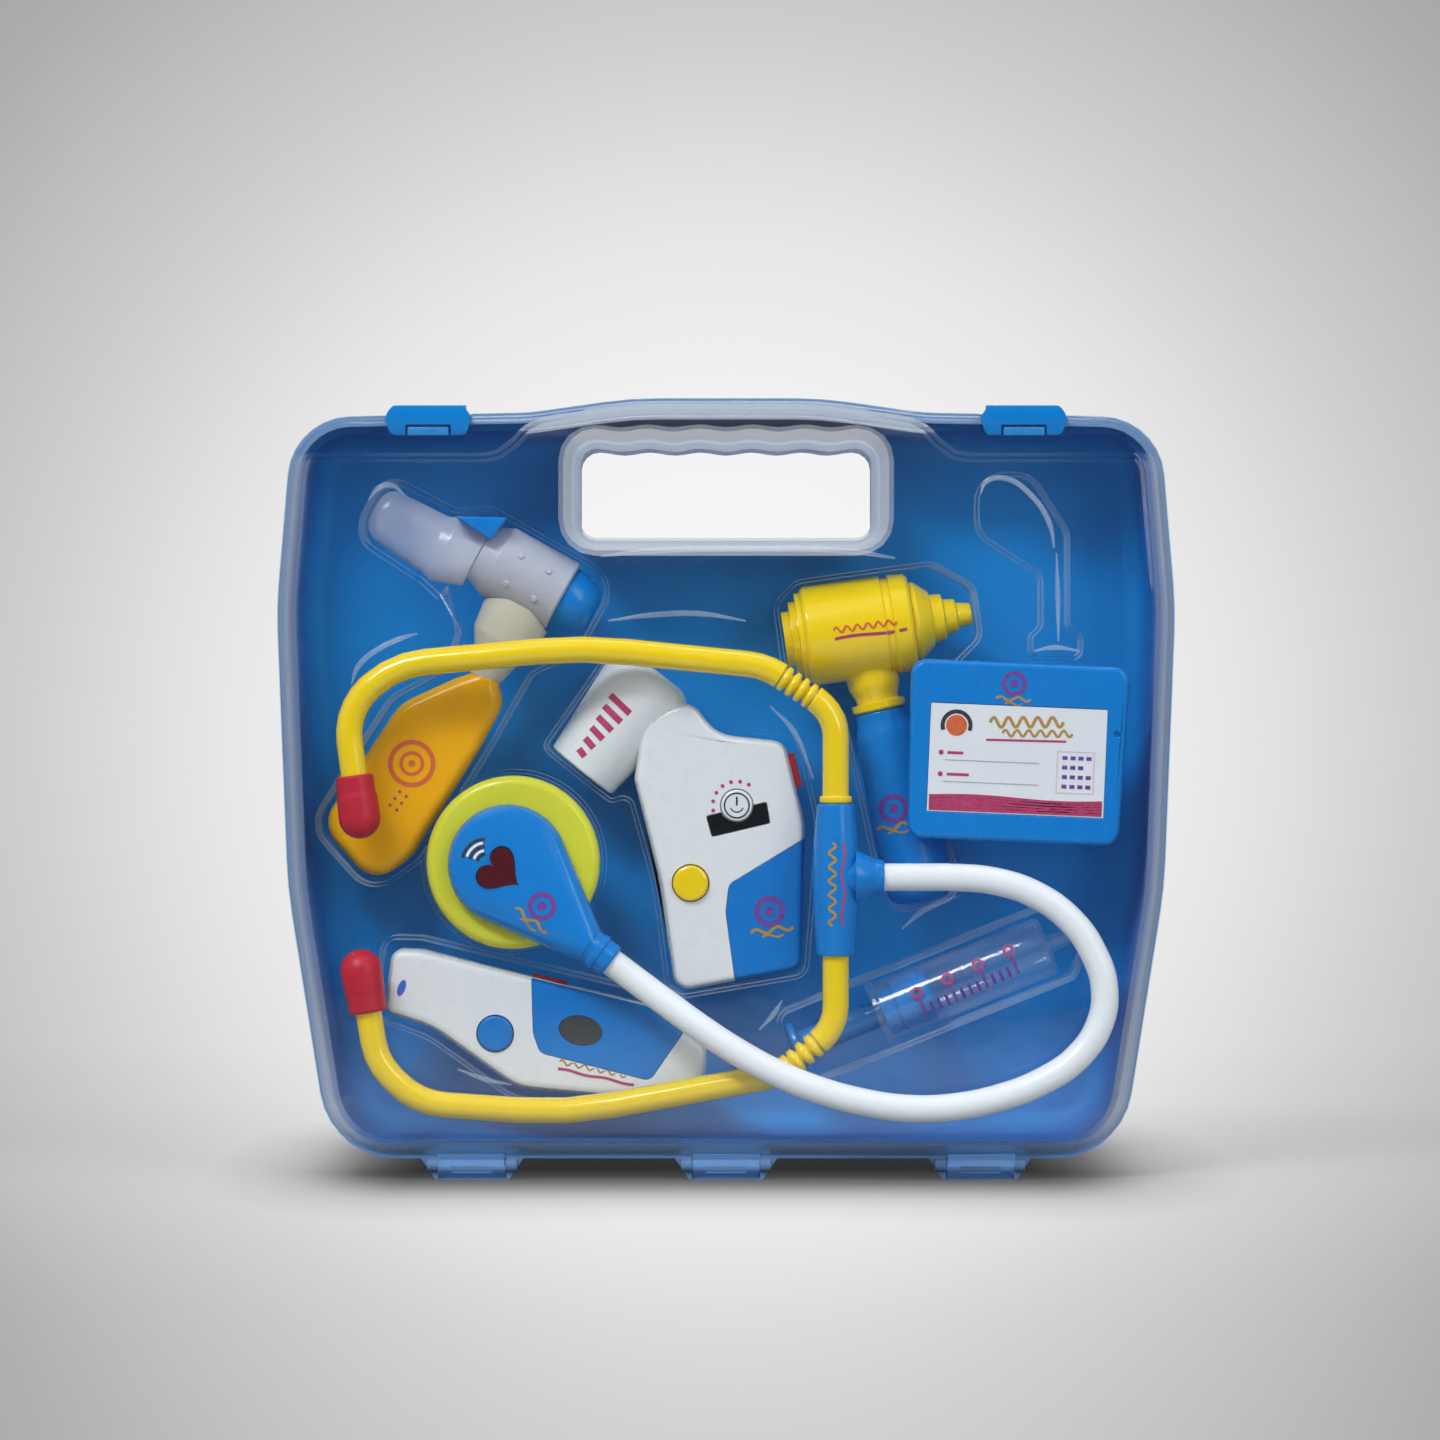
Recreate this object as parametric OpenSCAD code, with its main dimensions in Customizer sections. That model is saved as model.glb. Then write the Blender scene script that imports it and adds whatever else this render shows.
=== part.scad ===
// Toy doctor case: a hinged carry case with a clear lid, a clear formed tray and
// the play instruments that lie in it. The case stands on its hinge edge, X runs
// across it, Z runs up, and the clear lid faces -Y.

/* [Case] */
// Width across the widest point
case_w = 283; // [282:1:330]
// Height of the body above its feet, at the shoulders
case_h = 233.5; // [233:0.5:270]
// Depth over lid and base
case_d = 64; // [64:0.5:76]
// Depth of the lid alone
lid_d = 26; // [26:0.5:30]
// Wall of the blue base
base_wall = 2.2; // [1.8:0.1:2.8]
// Wall of the clear lid
lid_wall = 1.8; // [1.4:0.1:2.0]
// Gap between the two rims
rim_gap = 0.3; // [0.2:0.05:0.6]
// Radius of the shoulders
shoulder_r = 20; // [16:1:24]
// Radius of the bottom corners
heel_r = 24; // [20:1:28]
// How far the middle of the top rises over the shoulders
crown_h = 5.5; // [3:0.5:8]
// Height of the locating lip inside the parting line
lip_h = 2; // [1:0.25:2.2]
// Thickness of the locating lip
lip_t = 1.2; // [0.8:0.1:1.6]

/* [Handle] */
// Width of the hand hole
grip_w = 90.2; // [80:1:96]
// Height of the hand hole
grip_h = 27; // [22:1:28]
// Solid bar left over the hand hole, measured from the shoulders
grip_bar = 10.8; // [10:0.2:14]
// Corner radius of the hand hole
grip_r = 4.4; // [3:0.2:6]
// Depth of the finger grips
grip_wave = 1.0; // [0.4:0.1:1.6]
// How far the lid's funnel opens out towards the front
grip_flare = 5.4; // [3:0.2:6]
// How far the base's tunnel stands back behind the lid's funnel
grip_step = 1.4; // [0.8:0.1:1.6]

/* [Hinges] */
// Distance of the outer hinges from the middle
hinge_x = 80; // [60:1:95]
// Height of the feet under the body
foot_h = 7; // [6.6:0.1:8]
// Width of a foot on the table
foot_w = 23.2; // [22:0.2:30]
// Width of a foot at the body
foot_top_w = 32.6; // [31:0.2:36]
// Width of the lid's hinge barrel
barrel_w = 21; // [16:0.5:21.5]
// Radius of the lid's hinge barrel
barrel_r = 4.2; // [3.8:0.1:4.3]
// Radius of the hinge pin
pin_r = 1.6; // [1.3:0.05:1.8]
// Height of the hinge pin over the table
pin_z = 4.6; // [4.5:0.05:4.8]
// Running clearance of the pins
pin_fit = 0.08; // [0.04:0.01:0.1]
// Clearance beside moving pieces
side_fit = 0.3; // [0.2:0.05:0.5]

/* [Latches] */
// Distance of the latches from the middle
latch_x = 93.5; // [85:0.5:100]
// Width of a latch
latch_w = 27; // [23:0.5:30]
// Thickness of a latch
latch_t = 2.2; // [1.8:0.1:2.4]
// Reach of a latch from its pin to its lip
latch_reach = 17.5; // [17:0.1:18.5]
// How far the lip hangs below the pin
latch_drop = 7.9; // [6:0.1:8.5]
// Radius of a latch pin
latch_pin_r = 1.2; // [1:0.05:1.4]

/* [Tray] */
// Thickness of the formed sheet
tray_t = 1.2; // [0.8:0.1:1.4]
// Gap between a pocket and what lies in it
pocket_fit = 0.8; // [0.5:0.1:1]
// Gap between a piece and the floor of its pocket
seat_fit = 0.3; // [0.2:0.05:0.5]

/* [Stethoscope] */
// Radius of the ear tubes
ear_r = 4.2; // [3.6:0.1:4.4]
// Radius of the slim core in the ribbed stretch
rib_core_r = 2.5; // [2:0.1:3]
// Radius of an ear tip
tip_r = 6.6; // [6:0.1:6.8]
// Length of an ear tip
tip_l = 20; // [16:0.5:22]
// Radius of the white hose
hose_r = 4.35; // [3.6:0.05:4.4]
// Radius of the yoke at its middle
yoke_r = 7.3; // [6.6:0.1:7.4]
// Radius of the chest disc
chest_r = 27.3; // [24:0.1:28]
// Thickness of the chest disc
chest_t = 12; // [10:0.5:12.5]
// Radius of the blue cap's round end
cap_r = 18.8; // [17:0.1:20]
// Height of the blue cap
cap_h = 6; // [5.5:0.1:7]

/* [Pulse gun] */
// Thickness of the gun's body
gun_t = 25; // [22:0.5:26]
// Radius of the barrel at its mouth
muzzle_r = 12.1; // [10:0.1:12.5]
// Radius of the barrel at its back
breech_r = 15.4; // [13:0.1:15.6]
// Length of the barrel's cone
muzzle_l = 31; // [28:0.5:32]
// Radius of the yellow button
gun_button_r = 5.6; // [4:0.1:6.5]
// Radius of the turning indicator
dial_r = 5; // [4:0.1:5.4]
// Travel of each push button
press = 1.2; // [0.6:0.1:1.5]

/* [Thermometer] */
// Thickness of the thermometer
thermo_t = 14; // [12:0.5:15]
// Radius of its button
thermo_button_r = 5.6; // [4:0.1:6]
// Length of its slide switch
switch_l = 11; // [8:0.5:12]

/* [Reflex hammer] */
// Radius of the sleeve
sleeve_r = 12.1; // [11:0.1:12.2]
// Length of the sleeve
sleeve_l = 24.5; // [22:0.5:26]
// Wall of the sleeve
sleeve_wall = 1.6; // [1.2:0.1:2]
// Radius of the slim tip
hammer_tip_r = 6.8; // [5.5:0.1:7.5]
// Length of the slim tip
hammer_tip_l = 33; // [28:0.5:33]
// Thickness of the handle
hammer_t = 12; // [10:0.5:13]

/* [Ear scope] */
// Radius of the head
scope_r = 16; // [14:0.1:16.2]
// Length of the head's barrel
scope_l = 34; // [30:0.5:35]
// Radius of the handle
scope_grip_r = 10.5; // [9:0.1:10.6]
// Length of the handle
scope_grip_l = 62; // [50:0.5:62]

/* [Syringe] */
// Radius of the clear barrel
syringe_r = 9.5; // [8.5:0.1:9.6]
// Wall of the clear barrel
syringe_wall = 1; // [0.8:0.05:1.2]
// Length of the clear barrel
syringe_l = 59; // [54:0.5:60]
// Length of the blue piston
piston_l = 18; // [12:0.5:18]
// Radius of the plunger rod
rod_r = 4.4; // [3.5:0.1:5]
// Radius of the thumb plate
thumb_r = 8; // [6:0.1:9]

/* [Badge] */
// Width of the badge
badge_w = 69; // [60:0.5:70]
// Height of the badge
badge_h = 56.5; // [50:0.5:58]
// Thickness of the badge
badge_t = 5; // [4:0.1:6]
// Width of the card in the badge
card_w = 55.5; // [48:0.5:56]
// Height of the card in the badge
card_h = 34; // [28:0.5:36]

/* [Hidden] */
$fn = 48;
eps = 0.01;

y_front = -case_d / 2;
y_back = case_d / 2;
y_part = y_front + lid_d;
half_w = case_w / 2;
z_top = foot_h + case_h;

// Outline of the case, right half from the bottom up: x, z, radius.
case_right = [
    [half_w - 17, foot_h, heel_r],
    [half_w - 3.5, foot_h + 85, 150],
    [half_w, foot_h + 173, 120],
    [half_w - 5, z_top - 0.5, shoulder_r],
    [62, z_top + 1, 60],
    [30, z_top + crown_h, 120]
];

// Shared geometry: rounded outlines and skins between them
function unit(v) = v / norm(v);
function turn(a, b, c) =
    let (t = atan2(c[1] - b[1], c[0] - b[0]) - atan2(b[1] - a[1], b[0] - a[0]))
    t - 360 * floor((t + 180) / 360);
// Points of one rounded corner at b, each with its outward normal.
function corner(a, b, c) =
    let (k = turn(a, b, c), s = sign(k), r = b[2],
         u = unit([a[0] - b[0], a[1] - b[1]]),
         v = unit([c[0] - b[0], c[1] - b[1]]),
         o = [b[0], b[1]] + unit(u + v) * (r / cos(k / 2)),
         f = atan2(b[1] - a[1], b[0] - a[0]) - 90 * s,
         n = max(2, ceil(abs(k) / 13)))
    [for (i = [0 : n]) let (t = f + k * i / n, d = [cos(t), sin(t)]) [o + r * d, s * d]];
function outline(v) =
    let (n = len(v))
    [for (i = [0 : n - 1]) each corner(v[(i + n - 1) % n], v[i], v[(i + 1) % n])];
function mirrored(v) = [for (i = [len(v) - 1 : -1 : 0]) [-v[i][0], v[i][1], v[i][2]]];
function ring(o, y, d) = [for (q = o) let (p = q[0] - d * q[1]) [p[0], y, p[1]]];
function flat(o, d = 0) = [for (q = o) q[0] - d * q[1]];

// Closed skin through rings that run anticlockwise seen from -Y, front to back.
module skin(rings) {
    n = len(rings[0]);
    m = len(rings);
    polyhedron([for (r = rings) each r], concat(
        [[for (i = [n - 1 : -1 : 0]) i]],
        [for (k = [0 : m - 2], i = [0 : n - 1]) let (j = (i + 1) % n)
            each [[k * n + i, k * n + j, (k + 1) * n + j],
                  [k * n + i, (k + 1) * n + j, (k + 1) * n + i]]],
        [[for (i = [0 : n - 1]) (m - 1) * n + i]]));
}
// Body with the same outline at each depth of the chain: depth, inset.
module moulded(o, chain) {
    skin([for (c = chain) ring(o, c[0], c[1])]);
}
// Straight prism in the picture plane between two depths.
module prism(y0, y1) {
    translate([0, y1, 0]) rotate([90, 0, 0]) linear_extrude(y1 - y0) children();
}
// Frame of a tool: its own x axis turned anticlockwise in the picture plane.
module tool(x, y, z, a) {
    translate([x, y, z]) rotate([0, -a, 0]) children();
}
// Solid of revolution about the local x axis from points x, radius.
module lathe(p) {
    rotate([0, 90, 0]) rotate_extrude() polygon([for (q = p) [q[1], q[0]]]);
}
function arc(cx, cy, r, a0, a1, n) =
    [for (i = [0 : n]) let (t = a0 + (a1 - a0) * i / n) [cx + r * cos(t), cy + r * sin(t)]];

// Case
case_line = outline(concat(case_right, mirrored(case_right)));
lid_slope = (lid_d - 5) * 0.29;
base_in = base_wall + 1.4;
ledge_y = y_part + lip_h + 0.3;

// Hand hole, grown by o on every side. Its top edge carries the finger grips.
grip_top = z_top - grip_bar;
function grip(o, y) =
    let (hw = grip_w / 2 + o, lo = grip_top - grip_h - o, hi = grip_top + o, r = grip_r + o,
         p = concat(
            arc(-hw + r, lo + r, r, 180, 270, 4),
            arc(hw - r, lo + r, r, 270, 360, 4),
            arc(hw - r, hi - r, r, 0, 90, 4),
            [for (i = [1 : 29]) [(hw - r) * (1 - i / 15),
                hi - grip_wave * (1 - cos(360 * i / 6)) / 2]],
            arc(-hw + r, hi - r, r, 90, 180, 4)))
    [for (q = p) [q[0], y, q[1]]];

hinges = [-hinge_x, 0, hinge_x];
hinge_y = y_part - rim_gap / 2;
barrel_gap = barrel_w / 2 + side_fit;

module foot() {
    intersection() {
        prism(y_part - 6, y_back) polygon([
            [-foot_w / 2, 0], [foot_w / 2, 0], [foot_top_w / 2, foot_h],
            [foot_top_w / 2, foot_h + 9], [-foot_top_w / 2, foot_h + 9], [-foot_top_w / 2, foot_h]]);
        translate([-foot_top_w / 2 - 1, 0, 0]) rotate([90, 0, 90]) linear_extrude(foot_top_w + 2)
            polygon([[hinge_y, 0], [y_back - 6, 0], [y_back - 6, foot_h + 5.4],
                [y_part + 5, foot_h + 2], [hinge_y, foot_h + 1.6]]);
    }
}

module pin_x(r, l, x = 0) {
    translate([x - l / 2, 0, 0]) rotate([0, 90, 0]) cylinder(r = r, h = l);
}

latch_y = y_part + 10;
latch_z = z_top + 1.8;
latch_knuckle = latch_pin_r + 1.1;
ear_t = 3;
knuckle_w = 15.6;

module latch_bracket() {
    for (s = [-1, 1]) translate([s * (knuckle_w / 2 + side_fit + ear_t / 2), latch_y, latch_z]) {
        translate([-ear_t / 2, -latch_knuckle - 0.6, -4.4]) cube([ear_t, 2 * latch_knuckle + 1.2, 4.4]);
        pin_x(latch_knuckle, ear_t);
    }
    translate([0, latch_y, latch_z]) pin_x(latch_pin_r, knuckle_w + 2 * side_fit + ear_t);
}

function seen(p) = [for (q = p) [q[0], q[2]]];
module base_shell() {
    color("dodgerblue") {
    difference() {
        union() {
            moulded(case_line, [
                [y_back - base_wall, 13],
                [y_back - base_wall - 2.4, 7 + base_wall - 0.6],
                [y_back - 8, 4.2 + base_wall],
                [ledge_y + 2, base_in],
                [ledge_y + 1, base_in + 1.6],
                [ledge_y, base_in + 1.6],
                [ledge_y, lid_wall + side_fit + lip_t],
                [y_part - lip_h, lid_wall + side_fit + lip_t],
                [y_part - lip_h, lid_wall + side_fit + 0.2],
                [y_part, lid_wall + side_fit],
                [y_part, 0],
                [y_part + 3, 0],
                [y_part + 3.6, 1.2],
                [y_back - 8, 4.2],
                [y_back - 2.6, 6.4],
                [y_back, 11]]);
            for (x = hinges) translate([x, 0, 0]) foot();
            for (x = hinges, s = [-1, 1])
                translate([x, hinge_y, pin_z])
                    pin_x(2.1, (foot_w + 5) / 2 - barrel_gap, s * ((foot_w + 5) / 4 + barrel_gap / 2));
            for (x = [-latch_x, latch_x]) translate([x, 0, 0]) latch_bracket();
        }
        prism(y_back - base_wall - 1, y_back + 1) polygon(seen(grip(grip_step + base_wall / 2, 0)));
        for (x = hinges) translate([x, hinge_y, pin_z]) difference() {
            pin_x(barrel_r + side_fit, 2 * barrel_gap);
            pin_x(pin_r, 2 * barrel_gap + 2);
        }
    }
    prism(y_part, y_back - 0.5) difference() {
        polygon(seen(grip(grip_step + base_wall, 0)));
        polygon(seen(grip(grip_step, 0)));
    }
    }
}

// Corner shelf of the lid, where the front drops back for a latch.
shelf_y = y_part - 6;
shelf_z = z_top - 13;
function shelf(d) = [
    [-case_w, shelf_z - d], [-76, shelf_z - d], [-71.6 + d * 0.4, shelf_z + 0.8 - d],
    [-66.5 + d * 0.8, shelf_z + 4.5 - d * 0.7], [-62.6 + d * 0.8, shelf_z + 9 - d * 0.7],
    [-58.5 + d * 0.6, z_top - 1.2 - d * 0.8], [-53.6 + d * 0.4, z_top + 0.1 - d],
    [-45, z_top + 1.1 - d * 0.6], [-38, z_top + 12], [-case_w, z_top + 12]];

module shelves(d, y1) {
    for (s = [0, 1]) mirror([s, 0, 0]) prism(y_front - 5, y1) polygon(shelf(d));
}

lid_outer = [
    [y_front, lid_slope + 3.6],
    [y_front + 0.6, lid_slope + 1.7],
    [y_front + 2.4, lid_slope],
    [y_part - rim_gap - 3.2, 0.9],
    [y_part - rim_gap - 2.6, 0],
    [y_part - rim_gap, 0]];
lid_inner = [
    [y_part - rim_gap, lid_wall],
    [y_part - rim_gap - 2.1, lid_wall],
    [y_part - rim_gap - 3.2, lid_wall + 0.9],
    [y_front + lid_wall + 1.6, lid_slope + lid_wall],
    [y_front + lid_wall, lid_slope + lid_wall + 2.6]];

module lid_shell() {
    color("azure", 0.4) difference() {
        union() {
            difference() {
                moulded(case_line, concat(lid_outer, lid_inner));
                shelves(0, shelf_y);
            }
            intersection() {
                difference() {
                    shelves(lid_wall, shelf_y + lid_wall);
                    shelves(0, shelf_y);
                }
                moulded(case_line, lid_outer);
            }
            skin([grip(grip_flare + lid_wall, y_front + 0.5),
                grip(lid_wall + 0.3, y_part - rim_gap)]);
            for (x = hinges) translate([x, hinge_y, pin_z]) {
                pin_x(barrel_r, barrel_w);
                translate([-barrel_w / 2, -8.6, 0.4]) cube([barrel_w, 8.6 - rim_gap / 2, 3.6]);
            }
            for (s = [-1, 1]) translate([s * latch_x - 6.6, shelf_y - 0.7, latch_z - latch_drop - 0.8])
                cube([13.2, 2.4, 2.4]);
        }
        skin([grip(grip_flare, y_front - eps), grip(0.3, y_part + 1)]);
        // Snap slots of the hinge barrels
        for (x = hinges) translate([x, hinge_y, pin_z]) {
            pin_x(pin_r + pin_fit, barrel_w + 2);
            translate([-6.2, -barrel_r - 1, -0.6 - pin_r]) cube([12.4, barrel_r + 1, 2 * pin_r - 0.6]);
        }
        // Notches for the latches
        for (s = [-1, 1]) translate([s * latch_x, latch_y, latch_z]) intersection() {
            pin_x(latch_reach + side_fit, latch_w + 2 * side_fit);
            difference() {
                translate([-latch_w, -30, -latch_drop - side_fit]) cube([2 * latch_w, 30, 30]);
                translate([-6.6, -30, -latch_drop - 1])
                    cube([13.2, 30 - 10 - 5, 2.6]);
            }
        }
    }
}

module latch() {
    color("dodgerblue") translate([0, latch_y, latch_z]) difference() {
        intersection() {
            union() {
                // Curved lip, its back and front struck from the pin
                intersection() {
                    difference() {
                        pin_x(latch_reach, latch_w);
                        pin_x(latch_reach - latch_t, latch_w + 2);
                    }
                    translate([-latch_w, -30, -latch_drop]) cube([2 * latch_w, 28, latch_drop + latch_t / 2]);
                }
                translate([-latch_w / 2, -latch_reach + 0.4, -latch_t / 2])
                    cube([latch_w, latch_reach - 4.2, latch_t]);
                translate([-knuckle_w / 2, -5, -latch_t / 2]) cube([knuckle_w, 5, latch_t]);
                pin_x(latch_knuckle, knuckle_w);
            }
            prism(-30, 10) hull() {
                for (s = [-1, 1]) {
                    translate([s * (latch_w / 2 - 3), -latch_drop + 2]) circle(r = 2, $fn = 32);
                    translate([s * (latch_w / 2 - 2), -2.6]) circle(r = 2, $fn = 32);
                    translate([s * (latch_w / 2 - 3.4), 3]) circle(r = 2, $fn = 32);
                }
            }
        }
        pin_x(latch_pin_r + pin_fit, knuckle_w + 2);
        translate([-7.1, -30, -latch_drop - 1]) cube([14.2, 20, 4.1]);
    }
}

module latch_left() {
    translate([-latch_x, 0, 0]) latch();
}

module latch_right() {
    translate([latch_x, 0, 0]) latch();
}

// Tray
sheet_y = y_part + 0.8;
sheet_back = sheet_y + tray_t;
tube_y = sheet_y - max(yoke_r, tip_r) - seat_fit;

module pocket(floor_y, i) {
    prism(sheet_y + 0.2, floor_y + tray_t) plan(i, tray_t);
}
module plan(i, d) {
    polygon(flat(pockets[i], -d));
}

module tray() {
    color("aliceblue", 0.35) difference() {
        union() {
            prism(sheet_y, sheet_back) difference() {
                polygon(flat(case_line, lid_wall + side_fit + lip_t + 0.4));
                translate([-grip_w / 2, grip_top - grip_h]) offset(delta = grip_step + base_wall + 1.2)
                    square([grip_w, 80]);
            }
            for (i = [0 : 6]) pocket(floors[i], i);
        }
        for (i = [0 : 6]) prism(sheet_y - 1, floors[i]) plan(i, 0);
    }
}

// Stethoscope
// Rings of a bent round bar: centre in the picture plane and radius, from points x, z, bend.
function bends(p) = let (n = len(p)) concat(
    [[[p[0][0], p[0][1]], ear_r]],
    [for (i = [1 : n - 2]) each [for (q = corner(p[i - 1], p[i], p[i + 1])) [q[0], ear_r]]],
    [[[p[n - 1][0], p[n - 1][1]], ear_r]]);
// Rings of a slim core with n round ribs between a and b.
function ribbed(a, b, n) =
    let (u = unit(b - a), w = norm(b - a) / n)
    [for (i = [0 : n - 1]) let (c = w * (i + 0.5))
        each [[a + u * (c - w * 0.42), rib_core_r], [a + u * (c - w * 0.24), ear_r],
              [a + u * (c + w * 0.24), ear_r], [a + u * (c + w * 0.42), rib_core_r]]];
function along(p, i) = unit(i == 0 ? p[1] - p[0] : i == len(p) - 1 ? p[i] - p[i - 1] : p[i + 1] - p[i - 1]);
// Round tube through points in space, a radius for each, with n sides.
module swept(p, r, n) {
    m = len(p);
    polyhedron(
        [for (i = [0 : m - 1]) let (t = along(p, i), u = unit(cross(t, [0, 1, 0])), v = cross(t, u))
            for (k = [0 : n - 1]) p[i] + r[i] * (cos(360 * k / n) * u + sin(360 * k / n) * v)],
        concat([[for (k = [0 : n - 1]) k]],
            [for (i = [0 : m - 2], k = [0 : n - 1]) let (j = (k + 1) % n)
                each [[i * n + k, (i + 1) * n + k, (i + 1) * n + j],
                      [i * n + k, (i + 1) * n + j, i * n + j]]],
            [[for (k = [n - 1 : -1 : 0]) (m - 1) * n + k]]));
}
module ear_tube(rings) {
    swept([for (q = rings) [q[0][0], tube_y, q[0][1]]], [for (q = rings) q[1]], 16);
}

yoke_x = 34.4;
yoke_top = 118.5;
yoke_bottom = 71;
yoke_socket = 7;
upper_start = [yoke_x, yoke_top - yoke_socket + 0.2, 0];
upper_knee = [yoke_x, 147, 14];
upper_rib_a = [27.6, 151.55];
upper_rib_b = [17.2, 158.55];
upper_path = [concat(upper_rib_b, 0), [12.4, 161.8, 22], [-45, 167.6, 150], [-104, 162.2, 30],
    [-119.5, 148.2, 20], [-115.9, 121.5, 0]];
lower_start = [yoke_x, yoke_bottom + yoke_socket - 0.2, 0];
lower_knee = [yoke_x, 48.4, 14];
lower_rib_a = [28.84, 43.74];
lower_rib_b = [20.58, 36.75];
lower_path = [concat(lower_rib_b, 0), [16.6, 33.4, 18], [-50, 21.3, 120], [-97, 24.6, 24],
    [-109.5, 37.5, 20], [-113.2, 59, 0]];

module ear_tube_upper() {
    color("gold") ear_tube(concat(bends([upper_start, upper_knee, concat(upper_rib_a, 0)]),
        ribbed(upper_rib_a, upper_rib_b, 4), bends(upper_path)));
}
module ear_tube_lower() {
    color("gold") ear_tube(concat(bends([lower_start, lower_knee, concat(lower_rib_a, 0)]),
        ribbed(lower_rib_a, lower_rib_b, 3), bends(lower_path)));
}
// Soft ear tip over the end of a tube, its socket starting at the origin.
module ear_tip() {
    difference() {
        lathe(concat([[-6, 0], [-6, ear_r + 1.3], [-5.2, ear_r + 1.8], [-1, ear_r + 1.8], [1, tip_r - 0.2]],
            arc(tip_l - 6 - tip_r, 0, tip_r, 90, 0, 8)));
        translate([-7, 0, 0]) rotate([0, 90, 0]) cylinder(r = ear_r + 0.05, h = 7.1);
    }
}
module tip_at(p) {
    n = len(p);
    a = p[n - 2];
    b = p[n - 1];
    tool(b[0], tube_y, b[1], atan2(b[1] - a[1], b[0] - a[0])) ear_tip();
}
module ear_tip_upper() {
    color("crimson") tip_at(upper_path);
}
module ear_tip_lower() {
    color("crimson") tip_at(lower_path);
}

hose_start = 49.5;
hose_in = 95.5;
module yoke() {
    h = yoke_top - yoke_bottom;
    color("dodgerblue") translate([yoke_x, tube_y, yoke_bottom]) difference() {
        union() {
            rotate_extrude() polygon(concat([[0, 0], [ear_r + 1.5, 0]],
                [for (i = [0 : 12]) [ear_r + 1.7 + (yoke_r - ear_r - 1.7) * sin(180 * i / 12),
                    0.6 + (h - 1.2) * i / 12]],
                [[ear_r + 1.5, h], [0, h]]));
            translate([0, 0, hose_in - yoke_bottom]) lathe([[0, 0], [0, 6.6], [7, 6.2],
                [hose_start - yoke_x - 1, 5.6], [hose_start - yoke_x, 5.2], [hose_start - yoke_x, 0]]);
        }
        for (z = [-1, h - yoke_socket]) translate([0, 0, z])
            cylinder(r = ear_r + 0.05, h = yoke_socket + 1);
    }
}

// Route of the white hose from the yoke to the chest piece.
hose_route = [
    [49.5, 0, 95.5], [60, 0, 95.5], [72, -0.3, 95.4], [84, -0.8, 94.3], [97, -1.4, 90],
    [108, -2, 82], [115, -2.7, 72], [118.4, -3.3, 61], [117, -4, 50], [110, -4.8, 39.5],
    [99, -5.7, 32], [86, -6.6, 27], [71, -7.5, 24], [57, -8.3, 23.6], [43, -9, 25.6],
    [29, -9.3, 29.4], [16, -9.3, 34.6], [4, -8.6, 41], [-7, -7, 48], [-17, -4.6, 55],
    [-27, -2.2, 62.3], [-32, -1.4, 66], [-36, -1.4, 69]];
module hose() {
    color("white") swept([for (q = hose_route) [q[0], q[1] + tube_y, q[2]]],
        [for (q = hose_route) hose_r], 12);
}

chest_pos = [-67, 100];
chest_y = sheet_y - 5.6;
neck_end = [-36, 69];
neck_y = tube_y - 1.4;
neck_angle = -atan2(3, 4);

module chest_disc() {
    color("khaki") translate([chest_pos[0], chest_y, chest_pos[1]]) rotate([0, 0, 90])
        lathe(concat([[0, 0], [0, chest_r - 3]], arc(3, chest_r - 3, 3, 180, 90, 5),
            [[chest_t - 2, chest_r], [chest_t, chest_r - 2], [chest_t, 23], [chest_t - 1, 23], [chest_t - 1, 0]]));
}
module chest_diaphragm() {
    color("lightsteelblue") translate([chest_pos[0], chest_y + chest_t - 1 + 0.1, chest_pos[1]])
        rotate([-90, 0, 0]) cylinder(r = 22.8, h = 1.5);
}
function heart(s, d) = [for (i = [0 : 35]) let (t = i * 10)
    [s * 0.47 * 16 * pow(sin(t), 3) / 16, s * (0.47 * (13 * cos(t) - 5 * cos(2 * t) - 2 * cos(3 * t)
        - cos(4 * t)) + 1.2) / 16] * (1 + d / (s * 0.45))];
heart_pos = [-70, 97];
heart_s = 15;
module chest_cap() {
    color("dodgerblue") difference() {
        union() {
            hull() {
                translate([chest_pos[0] - 1.5, chest_y, chest_pos[1] - 0.5]) rotate([90, 0, 0]) {
                    cylinder(r = cap_r, h = cap_h - 3, $fn = 36);
                    cylinder(r = cap_r - 1.2, h = cap_h - 1, $fn = 36);
                    cylinder(r = cap_r - 4, h = cap_h, $fn = 36);
                }
                tool(neck_end[0], neck_y, neck_end[1], neck_angle) translate([-9, 0, 0])
                    rotate([0, -90, 0]) cylinder(r = 6.2, h = 3, $fn = 24);
            }
            tool(neck_end[0], neck_y, neck_end[1], neck_angle) lathe([[-10, 0], [-10, 6], [-6.5, 5.6],
                [-6, 6.1], [-4.6, 6.1], [-4.2, 5.6], [-1, 5.6], [0, 5.2], [0, 0]]);
        }
        translate([heart_pos[0], 0, heart_pos[1]]) prism(chest_y - cap_h - 5, chest_y - cap_h + 3.3 + press)
            rotate(neck_angle + 90) polygon(heart(heart_s, 0.35));
        translate([chest_pos[0], chest_y - 0.1, chest_pos[1]]) rotate([-90, 0, 0])
            cylinder(r = chest_r + side_fit, h = 30);
    }
}
module chest_heart() {
    color("darkred") translate([heart_pos[0], 0, heart_pos[1]])
        prism(chest_y - cap_h - 1.6, chest_y - cap_h + 3) rotate(neck_angle + 90)
            polygon(heart(heart_s, 0));
}

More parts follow.
